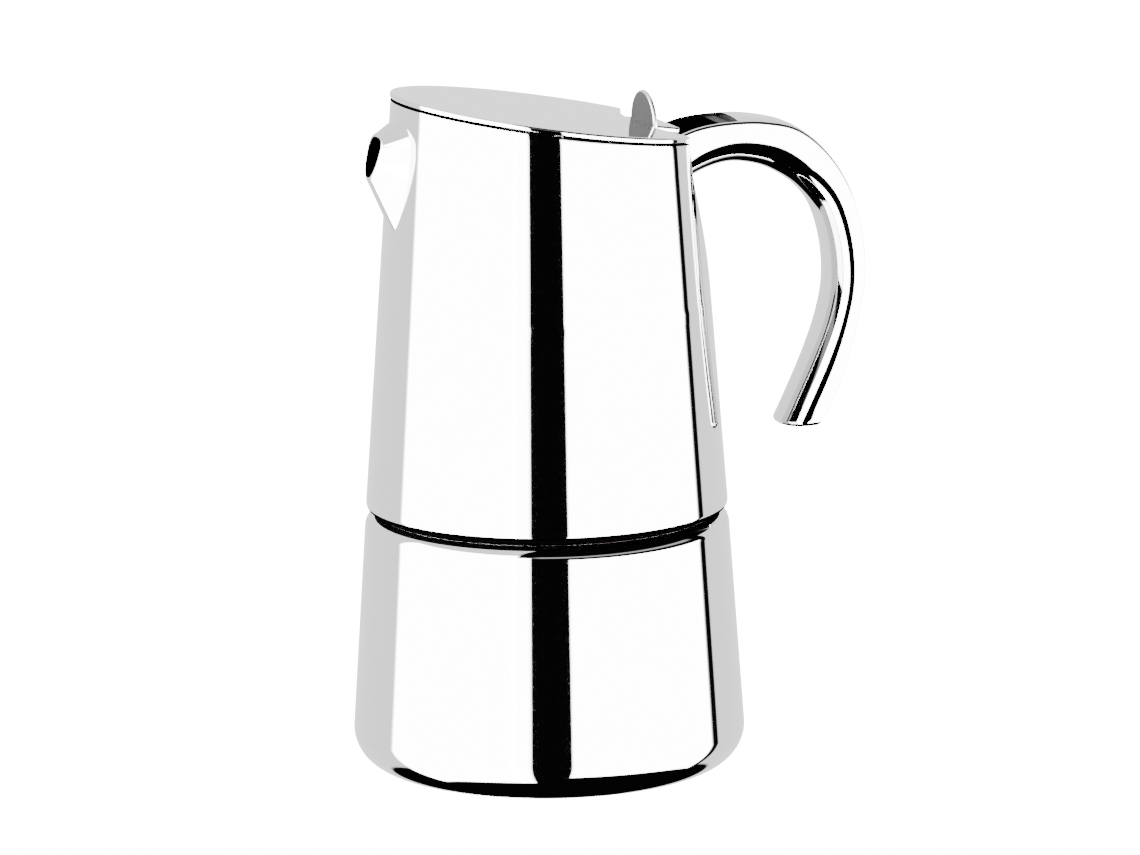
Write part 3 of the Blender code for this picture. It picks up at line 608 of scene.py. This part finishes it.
def make_funnel():
    inner = BASKET_RADIUS - 0.6
    profile = [(BASKET_RADIUS, FLANGE_Z), (BASKET_RADIUS, BASKET_LOW + 2.0)]
    profile += [(BASKET_RADIUS - 2.0, BASKET_LOW), (STEM_RADIUS + 0.4, BASKET_LOW - 5.0)]
    profile += [(STEM_RADIUS - 0.5, BASKET_LOW - 5.0), (STEM_RADIUS - 0.5, BASKET_LOW - 4.3)]
    profile += [(BASKET_RADIUS - 2.3, BASKET_LOW + 0.7), (inner, BASKET_LOW + 2.2)]
    profile += [(inner, BASKET_TOP), (FLANGE_RADIUS, BASKET_TOP), (FLANGE_RADIUS, FLANGE_Z)]
    piece("funnel_cup", turned(rounded(profile, 0.8, 5)), "funnel", ["funnel_basket"], "aluminium")
    bore = STEM_RADIUS - 0.6
    top = BASKET_LOW - 3.6
    stem = [(bore, top), (STEM_RADIUS, top), (STEM_RADIUS, STEM_BOTTOM + 1.0)]
    stem += [(STEM_RADIUS - 0.2, STEM_BOTTOM), (bore, STEM_BOTTOM)]
    tube = turned(rounded(stem, 0.25), SMALL_SEGMENTS)
    notch = block((-1.5, -9.0, STEM_BOTTOM - 1.0), (1.5, 9.0, STEM_BOTTOM + 2.5))
    piece("funnel_pipe", taken_from(tube, notch), "funnel", ["funnel_stem"], "aluminium")
    low = BASKET_LOW + 2.6
    plate = perforated(inner - 0.3, low, low + 0.6, 3.6, 0.75, 33.5)
    piece("basket_plate", plate, "funnel", ["basket_floor"], "aluminium")


def make_seal():
    low = 80.4
    top = 83.2
    outer = FLANGE_RADIUS
    section = [(34.0, top), (outer, top), (outer, low), (34.0, low)]
    section = rounded(section, 0.6, 5)
    piece("seal_ring", turned(section), "gasket", ["gasket"], "silicone")
    plate = perforated(outer, 83.5, 84.4, 3.2, 0.65, 31.0)
    piece("filter_disc", plate, "filter", ["filter_plate"], "satin_steel")


# Jug, column and spout


def cone_radius(z):
    return JUG_R0 - JUG_SLOPE * z


def scoop_centre(z):
    x = (SCOOP_Z - z) / SCOOP_SOFTNESS
    return SCOOP_CENTRE + SCOOP_RUN_OUT * SCOOP_SOFTNESS * (x + sqrt(x * x + 1.0)) / 2


def jug_radius(angle, z):
    """Outer radius of the jug's wall at an angle round the axis, from +X."""
    cone = cone_radius(z)
    centre = scoop_centre(z)
    inside = SCOOP_RADIUS ** 2 - (centre * sin(angle)) ** 2
    if cos(angle) <= 0 or inside <= 0:
        return cone
    scoop = centre * cos(angle) - sqrt(inside)
    return (cone + scoop) / 2 - hypot((cone - scoop) / 2, CORNER_BLEND / 2)


def rim_height(x):
    return RIM_Z - RIM_SLANT * x


def jug_angles(z=RIM_CORNER_Z):
    """Angles round the jug, closest together at the scoop's two corners."""
    cone = cone_radius(z)
    centre = scoop_centre(z)
    meet = (cone ** 2 + centre ** 2 - SCOOP_RADIUS ** 2) / (2 * cone * centre)
    corner = max(acos(min(meet, 1.0)), radians(8.0))
    close = [radians(d) for d in (1.5, 0.9, 0.5, 0.2)]
    first = corner - radians(1.5)
    across = [first * (2 * i / 44 - 1) for i in range(44)]
    angles = across + [corner - d for d in close] + [corner] + [corner + d for d in close[::-1]]
    start = corner + radians(1.5)
    angles += [start + 2 * (pi - start) * i / 220 for i in range(1, 220)]
    return angles + [2 * pi - corner - d for d in close] + [2 * pi - corner] + [
        2 * pi - corner + d for d in close[:0:-1]
    ]


def on_plane(angle, plane_z, grow, share=1.0, low=163.0):
    """The wall's point part of the way from a level up to a slanted plane."""
    z = plane_z
    for _ in range(14):
        radius = jug_radius(angle, z) + grow
        z = low + share * (plane_z - RIM_SLANT * radius * cos(angle) - low)
    return (radius * cos(angle), radius * sin(angle), z)


def wall_ring(grow, z):
    turns = jug_angles(z)
    radii = [jug_radius(a, z) + grow for a in turns]
    return [(r * cos(a), r * sin(a), z) for r, a in zip(radii, turns)]


def plane_ring(grow, plane_z, share=1.0):
    turns = jug_angles(163.0 + share * (RIM_CORNER_Z - 163.0))
    return [on_plane(a, plane_z, grow, share) for a in turns]


def flat_ring(radius, z):
    return [(radius * cos(a), radius * sin(a), z) for a in jug_angles(z)]


def egg(angle, keel):
    """(half-width, distance down), both 0 to 1, of an egg whose top is at angle 0.

    The keel sets its lower half: 1 is round, and more is sharper.
    """
    turn = abs(angle)
    side = 1.0 if angle >= 0 else -1.0
    if turn <= pi / 2:
        across, down = SPOUT_TOP_POWERS
        return side * sin(turn) ** across, SPOUT_WIDEST * (1 - cos(turn) ** down)
    return side * sin(turn) ** keel, SPOUT_WIDEST - (1 - SPOUT_WIDEST) * cos(turn)


def egg_section(inset, count):
    """(y, z) points of the spout's base outline, drawn in by inset."""
    points = []
    top = SPOUT_BASE_TOP - inset
    drop = top - (SPOUT_BASE_BOTTOM + 2 * inset)
    for i in range(count):
        wide, down = egg(-pi + 2 * pi * i / count, SPOUT_BASE_KEEL)
        points.append(((SPOUT_BASE_HALF - inset) * wide, top - drop * down))
    return points


def spout_ring(along, inset, count=96, sunk=0.5):
    """A ring of the spout from its base (along 0) to its mouth (along 1)."""
    ring = []
    base = egg_section(inset, count)
    for i in range(count):
        wide, down = egg(-pi + 2 * pi * i / count, SPOUT_MOUTH_KEEL)
        y0, z0 = base[i]
        reach = cone_radius(z0) - sunk
        start = Vector((-sqrt(reach ** 2 - y0 ** 2), y0, z0))
        top = Vector((SPOUT_MOUTH_TOP[0], 0.0, SPOUT_MOUTH_TOP[1] - inset))
        low = Vector((SPOUT_MOUTH_BOTTOM[0], 0.0, SPOUT_MOUTH_BOTTOM[1] + 1.3 * inset))
        end = top.lerp(low, down)
        end.y = (SPOUT_MOUTH_HALF - inset) * wide
        ring.append(start.lerp(end, along))
    return ring


def make_jug():
    edge_top = JUG_BOTTOM + JUG_EDGE_RADIUS
    edge_r = cone_radius(edge_top) - JUG_EDGE_RADIUS
    edge = arc(edge_r, edge_top, JUG_EDGE_RADIUS, -90.0, 4.2, 14)
    levels = [76.0, 84.0, 92.0, 100.0, 108.0, 114.0, 118.0, 121.0, 123.0]
    levels += [124.5 + 1.75 * i for i in range(22)]
    shares = [i / 8 for i in range(1, 8)]
    rings = [flat_ring(JUG_LIP, JUG_BOTTOM)]
    rings += [flat_ring(r, z) for r, z in edge]
    rings += [wall_ring(0.0, z) for z in levels]
    rings.append(wall_ring(0.0, 163.0))
    rings += [plane_ring(0.0, RIM_Z, s) for s in shares]
    rings += [plane_ring(0.0, RIM_Z - 0.25), plane_ring(-0.08, RIM_Z - 0.06)]
    rings += [plane_ring(-0.25, RIM_Z), plane_ring(0.25 - WALL, RIM_Z)]
    rings += [plane_ring(0.08 - WALL, RIM_Z - 0.06), plane_ring(-WALL, RIM_Z - 0.25)]
    rings += [plane_ring(-WALL, RIM_Z, s) for s in shares[::-1]]
    rings.append(wall_ring(-WALL, 163.0))
    rings += [wall_ring(-WALL, z) for z in levels[::-1]]
    rings += [flat_ring(cone_radius(edge_top) - WALL, edge_top)]
    rings += [flat_ring(JUG_LIP, JUG_BOTTOM + WALL)]
    shell = skin(rings, closed=True)
    section = egg_section(SPOUT_WALL + 0.8, 72)
    opening = skin([[(x, y, z) for y, z in section] for x in (-60.0, -30.0)])
    shell = taken_from(shell, opening)
    body = piece("jug_body", shell, "jug", ["jug_shell"], "polished_steel")
    # Painted shade: the downward faces of the jug's rounded bottom edge and the upward faces of its
    # rim are painted black.
    paint_shade_faces(body, lambda at, way, _: at.z < edge_top + 0.5 and way.z < -0.12)
    paint_shade_faces(body, lambda at, way, _: at.z > 160 and way.z > 0.3)

    outer = cone_radius(FLOOR_Z) - WALL - 0.3
    top = FLOOR_Z + 1.0
    floor = [(8.0, top), (outer - 2.4, top), (outer - 0.9, top + 2.4), (outer, top + 2.4)]
    floor += [(outer, FLOOR_Z), (8.0, FLOOR_Z)]
    piece("jug_base", turned(rounded(floor, 0.8, 5)), "jug", ["jug_floor"], "satin_steel")

    low = JUG_BOTTOM + 0.4
    ring = [(RING_OUTER, FLOOR_Z - 0.1), (RING_OUTER, low), (RING_INNER, low)]
    ring = rounded(ring + [(RING_INNER, FLOOR_Z - 0.1)], 0.4)
    piece("screw_ring", turned(ring), "jug", ["thread_ring"], "satin_steel")
    ridge = thread(RING_INNER, 42.4, low + 2.6, low + 8.0, 1.75)
    piece("ring_thread", ridge, "jug", [], "satin_steel")


def make_column():
    low = FLOOR_Z + 1.0
    profile = [(4.1, 150.0), (4.8, 150.0), (6.5, 92.0), (7.0, 89.3), (8.4, 87.4), (9.5, 86.9)]
    profile += [(9.5, low), (8.1, low), (6.3, 89.0), (5.8, 92.0)]
    tube = turned(rounded(profile, 0.5, 5), SMALL_SEGMENTS)
    slot = block((-1.5, -9.0, 138.0), (1.5, 9.0, 144.5))
    piece("coffee_pipe", taken_from(tube, slot), "jug", ["coffee_column"], "satin_steel")
    cap = [(0.0, 153.9), (2.2, 153.7), (4.2, 152.9), (5.6, 151.8), (6.2, 150.9), (6.2, 150.1)]
    cap += [(3.9, 150.1), (3.8, 147.3), (0.0, 147.3)]
    cap = turned(rounded(cap, 0.3), SMALL_SEGMENTS)
    piece("pipe_cap", cap, "jug", ["column_cap"], "satin_steel")


def paint_shade_faces(made, chosen):
    """Paints a piece's faces black as painted shade, where chosen(centre in mm, normal, index) is
    true.
    """
    if PAINTED_SHADE.name not in made.data.materials:
        made.data.materials.append(PAINTED_SHADE)
    for face in made.data.polygons:
        if chosen(face.center / MM, face.normal, face.index):
            face.material_index = 1


def make_spout():
    steps = [(i / 20) ** 1.2 for i in range(21)]
    outer = [spout_ring(a, 0.0) for a in steps]
    lip = [spout_ring(1.0, 0.25), spout_ring(1.0, SPOUT_WALL - 0.25)]
    inner = [spout_ring(a, SPOUT_WALL) for a in steps[::-1]]
    outer[-1] = spout_ring(0.985, 0.0)
    inner[0] = spout_ring(0.985, SPOUT_WALL)
    spout = skin(outer + lip + inner, closed=True)
    made = piece("pouring_spout", spout, "jug", ["spout"], "polished_steel", 50.0)
    # Painted shade: the spout's inner faces, its bore and inner lip, are painted black.
    count = len(outer[0]) * (len(outer) + 1)
    paint_shade_faces(made, lambda at, way, index: index >= count)


# Handle


def spline_point(points, at):
    """A point on the smooth curve through the points, at 0 to len(points) - 1."""
    index = min(int(at), len(points) - 2)
    t = at - index
    p0 = points[max(index - 1, 0)]
    p1 = points[index]
    p2 = points[index + 1]
    p3 = points[min(index + 2, len(points) - 1)]
    return [
        b + 0.5 * t * (c - a + t * (2 * a - 5 * b + 4 * c - d + t * (3 * (b - c) + d - a)))
        for a, b, c, d in zip(p0, p1, p2, p3)
    ]


def handle_section(inner, outer, shrink):
    """The handle's outline across a pair of points: rounded inside, crowned outside."""
    up = (outer - inner).normalized()
    thick = (outer - inner).length
    half = HANDLE_HALF_WIDTH - shrink
    high_r = HANDLE_OUTER_RADIUS
    deep = thick - 2 * shrink - HANDLE_CROWN - high_r
    profile = []
    for turn in [radians(3.75 * i + 1.9) for i in range(24)]:
        rise = deep * (1 - cos(turn) ** HANDLE_ROUNDNESS)
        profile.append((half * sin(turn) ** HANDLE_ROUNDNESS, shrink + rise))
    profile += arc(half - high_r, shrink + deep, high_r, 2.0, 82.0, 6)
    for share in (0.72, 0.5, 0.25):
        profile.append((half * share, thick - shrink - HANDLE_CROWN * share ** 2))
    mirrored = [(-y, t) for y, t in profile[::-1]]
    return [inner + up * t + Vector((0.0, y, 0.0)) for y, t in profile + mirrored]


def handle_ring(at, shrink=0.0, drop=0.0):
    outer_x, outer_z, inner_x, inner_z = spline_point(HANDLE_PAIRS, at)
    inner = Vector((inner_x, 0.0, inner_z - drop))
    outer = Vector((outer_x, 0.0, outer_z - drop))
    return handle_section(inner, outer, shrink)


def make_handle():
    last = len(HANDLE_PAIRS) - 1
    rings = [handle_ring(last * i / 150) for i in range(151)]
    for share in (0.25, 0.5, 0.75, 1.0):
        turn = share * pi / 2
        rings.append(handle_ring(last, 1.5 * (1 - cos(turn)), 1.4 * sin(turn)))
    handle = skin(rings)
    levels = [124.5 + 2.2 * i for i in range(17)]
    wall = [wall_ring(-0.3, z) for z in levels] + [wall_ring(-0.3, 163.0), wall_ring(-0.3, 173.0)]
    hinge_room = block((POCKET_FRONT, -POCKET_HALF, HINGE_FLOOR), (POCKET_STEP, POCKET_HALF, 180.0))
    low = (POCKET_STEP - 1, -POCKET_HALF, REST_FLOOR)
    rest_room = block(low, (POCKET_BACK, POCKET_HALF, 180.0))
    handle = taken_from(handle, skin(wall), hinge_room, rest_room)
    piece("curved_handle", handle, "jug", ["handle"], "polished_steel")


def top_height(x):
    """The height of the handle's top edge at x, near its root."""
    at = 0.0
    while spline_point(HANDLE_PAIRS, at)[0] < x:
        at += 0.01
    return spline_point(HANDLE_PAIRS, at)[1] - HANDLE_CROWN


def make_thumb_rest():
    half = POCKET_HALF - 0.15
    start = POCKET_STEP + 0.2
    end = POCKET_BACK - 0.15
    rings = []
    for i in range(25):
        x = start + (end - start) * i / 24
        ease = 0.5 * max(0.0, 1 - min(i, 24 - i) / 2) ** 2
        height = top_height(x) - 0.5 - ease
        low = REST_FLOOR + 0.3
        top = [(half - 0.8 * (1 - cos(a)), height - 0.7 + 0.6 * sin(a)) for a in
               [radians(90 * k / 6) for k in range(7)]]
        top += [(half * s, height - 0.1 - 0.15 * (1 - s)) for s in (0.6, 0.3)]
        side = [(half, low)] + top
        ring = side + [(0.0, height - 0.25)] + [(-y, z) for y, z in side[::-1]]
        rings.append([(x, y, z) for y, z in ring])
    pad = piece("thumb_pad", skin(rings), "jug", ["thumb_rest"], "black_plastic")
    # Painted shade: the front seven tenths of the thumb pad, nearest the jug, is painted black.
    paint_shade_faces(pad, lambda at, way, _: at.x < start + 0.72 * (end - start))


# Hinge and lid


def hinge_bore():
    cutter = turned([(PIN_RADIUS + 0.15, 9.0), (PIN_RADIUS + 0.15, -9.0), (0.0, -9.0)][::-1]
                    + [(0.0, 9.0)], 32, 0.0)
    bmesh.ops.translate(cutter, vec=(HINGE_X * MM, 0, (HINGE_Z - VALVE_Z) * MM), verts=cutter.verts)
    return cutter


def make_hinge():
    base = HINGE_FLOOR
    ear = arc(HINGE_X, HINGE_Z, KNUCKLE_RADIUS, 0.0, 180.0, 20)
    outline = [(HINGE_X + 2.0, base)] + ear + [(HINGE_X - 2.0, base)]
    low = (HINGE_X - 6.0, -KNUCKLE_HALF - GAP, base + 1.0)
    high = (HINGE_X + 6.0, KNUCKLE_HALF + GAP, HINGE_Z + 5.0)
    bracket = taken_from(along_y(outline, EAR_OUTER), block(low, high), hinge_bore())
    piece("hinge_ears", bracket, "jug", ["hinge_bracket"], "satin_steel")
    end = EAR_OUTER + 0.3
    pin = [(0.0, end), (0.5, end - 0.03), (0.8, end - 0.2), (PIN_RADIUS, end - 0.45)]
    pin += [(PIN_RADIUS, 0.45 - end), (0.8, 0.2 - end), (0.5, 0.03 - end), (0.0, -end)]
    rod = turned(pin, 32, 0.0)
    bmesh.ops.translate(rod, vec=(HINGE_X * MM, 0, (HINGE_Z - VALVE_Z) * MM), verts=rod.verts)
    piece("hinge_rod", rod, "jug", ["hinge_pin"], "satin_steel")


def lid_plane(x):
    return rim_height(x) + GAP


def lid_outline():
    """(x, y) points round the lid: the jug's outline with a tongue at the back."""
    points = []
    for angle in jug_angles():
        x, y, _ = on_plane(angle, RIM_Z + GAP, LID_PROUD)
        if x < 0 or abs(y) > TONGUE_HALF + 0.4:
            points.append((x, y))
    split = next(i for i, (x, y) in enumerate(points) if y > 0)
    points = points[split:] + points[:split]
    root = points[-1][0] - 0.5
    tongue = [(root, -TONGUE_HALF)]
    tongue += [(TONGUE_END - 1 + sin(a), -TONGUE_HALF + 1 - cos(a)) for a in
               [radians(90 * k / 6) for k in range(7)]]
    return points + tongue + [(x, -y) for x, y in tongue[::-1]]


def inset_outline(points, inset):
    """The closed outline moved in by inset along its own normals."""
    moved = []
    count = len(points)
    for i, (x, y) in enumerate(points):
        before = points[i - 1]
        after = points[(i + 1) % count]
        along = Vector((after[0] - before[0], after[1] - before[1])).normalized()
        moved.append((x - along.y * inset, y + along.x * inset))
    return moved


def make_lid():
    outline = lid_outline()
    rings = []
    turns = [radians(90 * k / EDGE_STEPS) for k in range(EDGE_STEPS + 1)]
    for turn in turns:
        inset = LID_LOW_EDGE * (1 - sin(turn))
        rings.append((inset, LID_UNDERSIDE + LID_LOW_EDGE * (1 - cos(turn))))
    for turn in turns:
        inset = LID_EDGE * (1 - cos(turn))
        rings.append((inset, LID_THICK - LID_EDGE * (1 - sin(turn))))
    rings = [
        [(x, y, lid_plane(x) + rise) for x, y in inset_outline(outline, inset)]
        for inset, rise in rings
    ]
    panel = piece("lid_panel", skin(rings), "lid", ["lid_plate"], "polished_steel")
    # Painted shade: the downward faces of the lid's lower edge rounding are painted black, for the
    # dark gap under the lid.
    caps = 2
    low_edge = range(caps, caps + EDGE_STEPS * len(outline))
    paint_shade_faces(panel, lambda at, way, index: index in low_edge and way.z < -0.3)

    base = lid_plane(TAB_X) + LID_THICK - TAB_SUNK
    half = TAB_THICK / 2
    rings = []
    for k in range(13):
        turn = pi * (k / 12 - 0.5)
        radius = TAB_RADIUS + TAB_SUNK - 0.55 * (1 - cos(turn))
        x = TAB_X + half * sin(turn)
        rings.append([(x, y, z) for y, z in arc(0.0, base, radius, 0.0, 180.0, 64)])
    tab = piece("thumb_tab", skin(rings), "lid", ["lid_tab"], "satin_steel")
    tab.data.materials.append(BLASTED)
    for face in tab.data.polygons:
        face.material_index = int(abs(face.normal.x) > 0.99)

    knuckle = arc(HINGE_X, HINGE_Z, KNUCKLE_RADIUS, -180.0, 40.0, 24)
    front = HINGE_X - KNUCKLE_RADIUS
    back = HINGE_X + 0.6
    knuckle += [(back, lid_plane(back) + 0.1), (front, lid_plane(front) + 0.1)]
    leaf = taken_from(along_y(knuckle, KNUCKLE_HALF, 0.2), hinge_bore())
    piece("hinge_knuckle", leaf, "lid", ["lid_hinge_leaf"], "satin_steel")


# Stage

# How bright each kind of surface in the studio is.
BOX_LIGHT = 22.0
WALL_LIGHT = 2.0
LINE_LIGHT = 0.8
DARK_LIGHT = 0.003

# Each surface's start, end and softness in degrees. Sideways they count from the direction
# of the camera, positive to its right, and heights count from level.
LEFT_BOX = (-105, -20, 0.7)
LEFT_BOX_HEIGHTS = (-56, 36, 1.0)
NEAR_BOX = (-21.4, -11, 0.7)
NEAR_BOX_HEIGHTS = (-56, 20, 1.0)
RIGHT_BOX = (13.5, 110.5, 0.7)
RIGHT_BOX_HEIGHTS = (-40, 3, 1.0)
LINE = (-8, 105, 3.0)
LINE_HEIGHTS = (18, 27, 1.0)
WALL_HEIGHTS = (-36, 22, 1.0)

# Ramp stops of the wall beyond the pot, which lies across 180 degrees. A ramp runs from 0 to
# 1 over -180 to 180 degrees sideways, and over -1 to 1 of the sine of the height.
WALL_LEFT = [(0.0, 1.0), (0.2083, 1.0), (0.2085, 0.0)]
WALL_RIGHT = [(0.8259, 0.0), (0.8268, 1.0)]
UPPER_WALL_RIGHT = [(0.88, 0.0), (0.89, 1.0)]
UPPER_WALL_HEIGHTS = [(0.0, 0.0), (0.685, 0.0), (0.69, 1.0)]
OVER_BOX_HEIGHTS = [(0.0, 0.0), (0.79, 0.0), (0.8, 1.0)]


def ramp_through(tree, value, stops):
    """A ramp through (position, brightness) stops."""
    ramp = add_node(tree, "ShaderNodeValToRGB", {"Fac": value})
    elements = ramp.color_ramp.elements
    while len(elements) > 1:
        elements.remove(elements[0])
    elements[0].position = stops[0][0]
    elements[0].color = (stops[0][1],) * 3 + (1.0,)
    for position, level in stops[1:]:
        elements.new(position).color = (level,) * 3 + (1.0,)
    return ramp.outputs["Color"]


def edge_stops(low, high, soft):
    """(angle, level) pairs of a band from low to high with edges 2 soft wide."""
    return ((low - soft, 0.0), (low + soft, 1.0), (high - soft, 1.0), (high + soft, 0.0))


def sector(start, end, soft):
    """Ramp stops over a full turn, 1 between start and end degrees."""
    stops = [(0.0, 0.0)]
    for angle, level in edge_stops(start, end, soft):
        stops.append(((angle + 180.0) / 360.0, level))
    return stops


def heights(low, high, soft):
    """Ramp stops over the sine of the elevation, 1 between low and high degrees."""
    stops = [(0.0, 0.0)]
    for angle, level in edge_stops(low, high, soft):
        stops.append(((sin(radians(angle)) + 1) / 2, level))
    return stops


def make_world():
    """A studio that only reflections see: softboxes, a pale wall and dark gaps."""
    world = bpy.data.worlds.new("studio")
    world.use_nodes = True
    bpy.context.scene.world = world
    world.cycles_visibility.diffuse = False
    tree = world.node_tree
    tree.nodes.clear()
    way = add_node(tree, "ShaderNodeTexCoord").outputs["Generated"]
    parts = add_node(tree, "ShaderNodeSeparateXYZ", {"Vector": way})
    turn = add_node(tree, "ShaderNodeMath", {0: parts.outputs["Y"], 1: parts.outputs["X"]},
                    operation="ARCTAN2").outputs[0]
    towards = pi / 2 - radians(CAMERA_AZIMUTH)
    turn = add_node(tree, "ShaderNodeMath", {0: turn, 1: towards}, operation="ADD").outputs[0]
    turn = add_node(tree, "ShaderNodeMath", {0: turn, 1: pi, 2: -pi}, operation="WRAP").outputs[0]
    turn = add_node(tree, "ShaderNodeMapRange",
                    {"Value": turn, "From Min": -pi, "From Max": pi}).outputs[0]
    rise = add_node(tree, "ShaderNodeMapRange",
                    {"Value": parts.outputs["Z"], "From Min": -1.0, "From Max": 1.0}).outputs[0]
    left = ramp_through(tree, turn, sector(*LEFT_BOX))
    left_high = ramp_through(tree, rise, heights(*LEFT_BOX_HEIGHTS))
    over = ramp_through(tree, rise, OVER_BOX_HEIGHTS)
    near = ramp_through(tree, turn, sector(*NEAR_BOX))
    near_high = ramp_through(tree, rise, heights(*NEAR_BOX_HEIGHTS))
    right = ramp_through(tree, turn, sector(*RIGHT_BOX))
    right_high = ramp_through(tree, rise, heights(*RIGHT_BOX_HEIGHTS))
    wall = ramp_through(tree, turn, WALL_LEFT + WALL_RIGHT)
    wall_high = ramp_through(tree, rise, heights(*WALL_HEIGHTS))
    upper = ramp_through(tree, turn, WALL_LEFT + UPPER_WALL_RIGHT)
    upper_high = ramp_through(tree, rise, UPPER_WALL_HEIGHTS)
    line = ramp_through(tree, turn, sector(*LINE))
    line_high = ramp_through(tree, rise, heights(*LINE_HEIGHTS))

    def times(a, b):
        return add_node(tree, "ShaderNodeVectorMath", {0: a, 1: b}, operation="MULTIPLY").outputs[0]

    def plus(a, b):
        return add_node(tree, "ShaderNodeVectorMath", {0: a, 1: b}, operation="ADD").outputs[0]

    bright = plus(plus(times(left, left_high), times(near, near_high)), times(right, right_high))
    bright = times(bright, (BOX_LIGHT,) * 3)
    pale = plus(times(wall, wall_high), times(upper, upper_high))
    pale = times(plus(pale, times(left, over)), (WALL_LIGHT,) * 3)
    pale = plus(pale, times(times(line, line_high), (LINE_LIGHT,) * 3))
    seen = plus(plus(bright, pale), (DARK_LIGHT,) * 3)
    path = add_node(tree, "ShaderNodeLightPath").outputs["Is Camera Ray"]
    studio = add_node(tree, "ShaderNodeBackground", {"Color": seen}).outputs[0]
    white = {"Color": (1, 1, 1, 1), "Strength": BOX_LIGHT}
    plain = add_node(tree, "ShaderNodeBackground", white).outputs[0]
    both = add_node(tree, "ShaderNodeMixShader", {"Fac": path, 1: studio, 2: plain}).outputs[0]
    add_node(tree, "ShaderNodeOutputWorld", {"Surface": both})


def make_floor():
    """A pale floor that hides nothing from below."""
    bm = bmesh.new()
    bmesh.ops.create_grid(bm, x_segments=1, y_segments=1, size=FLOOR_HALF)
    floor = mesh_object("floor", bm)
    floor.location.z = -FLOOR_DROP
    made = bpy.data.materials.new("floor")
    made.use_nodes = True
    tree = made.node_tree
    tree.nodes.clear()
    under = add_node(tree, "ShaderNodeNewGeometry").outputs["Backfacing"]
    white = {"Color": (1, 1, 1, 1), "Strength": BOX_LIGHT}
    glow = add_node(tree, "ShaderNodeEmission", white).outputs[0]
    clear = add_node(tree, "ShaderNodeBsdfTransparent").outputs[0]
    both = add_node(tree, "ShaderNodeMixShader", {"Fac": under, 1: glow, 2: clear}).outputs[0]
    add_node(tree, "ShaderNodeOutputMaterial", {"Surface": both})
    floor.data.materials.append(made)
    floor.visible_glossy = False
    floor.visible_diffuse = False
    floor.visible_shadow = False


def make_lamps():
    """Soft lamps for the matt pieces, which don't see the studio."""
    for name, place, power in LAMPS:
        lamp = bpy.data.lights.new(name, "AREA")
        lamp.size = LAMP_SIZE
        lamp.energy = power
        made = bpy.data.objects.new(name, lamp)
        bpy.context.scene.collection.objects.link(made)
        made.location = place
        away = Vector(place) - Vector(LAMP_AIM)
        made.rotation_euler = away.to_track_quat("Z", "Y").to_euler()
        made.visible_glossy = False
        made.visible_camera = False


def make_camera():
    turn = radians(CAMERA_AZIMUTH)
    rise = radians(CAMERA_ELEVATION)
    back = Vector((sin(turn) * cos(rise), -cos(turn) * cos(rise), sin(rise)))
    right = Vector((cos(turn), sin(turn), 0.0))
    up = back.cross(right)
    roll = radians(CAMERA_ROLL)
    across = right * cos(roll) + up * sin(roll)
    above = up * cos(roll) - right * sin(roll)
    data = bpy.data.cameras.new("camera")
    data.lens = CAMERA_LENS
    data.shift_x, data.shift_y = CAMERA_SHIFT
    camera = bpy.data.objects.new("camera", data)
    bpy.context.scene.collection.objects.link(camera)
    place = Vector(CAMERA_AIM) + back * CAMERA_DISTANCE
    camera.matrix_world = Matrix((across, above, back)).transposed().to_4x4()
    camera.location = place
    bpy.context.scene.camera = camera


make_boiler()
make_valve()
make_funnel()
make_seal()
make_jug()
make_column()
make_spout()
make_handle()
make_thumb_rest()
make_hinge()
make_lid()
make_world()
make_floor()
make_lamps()
make_camera()

bpy.context.view_layer.update()
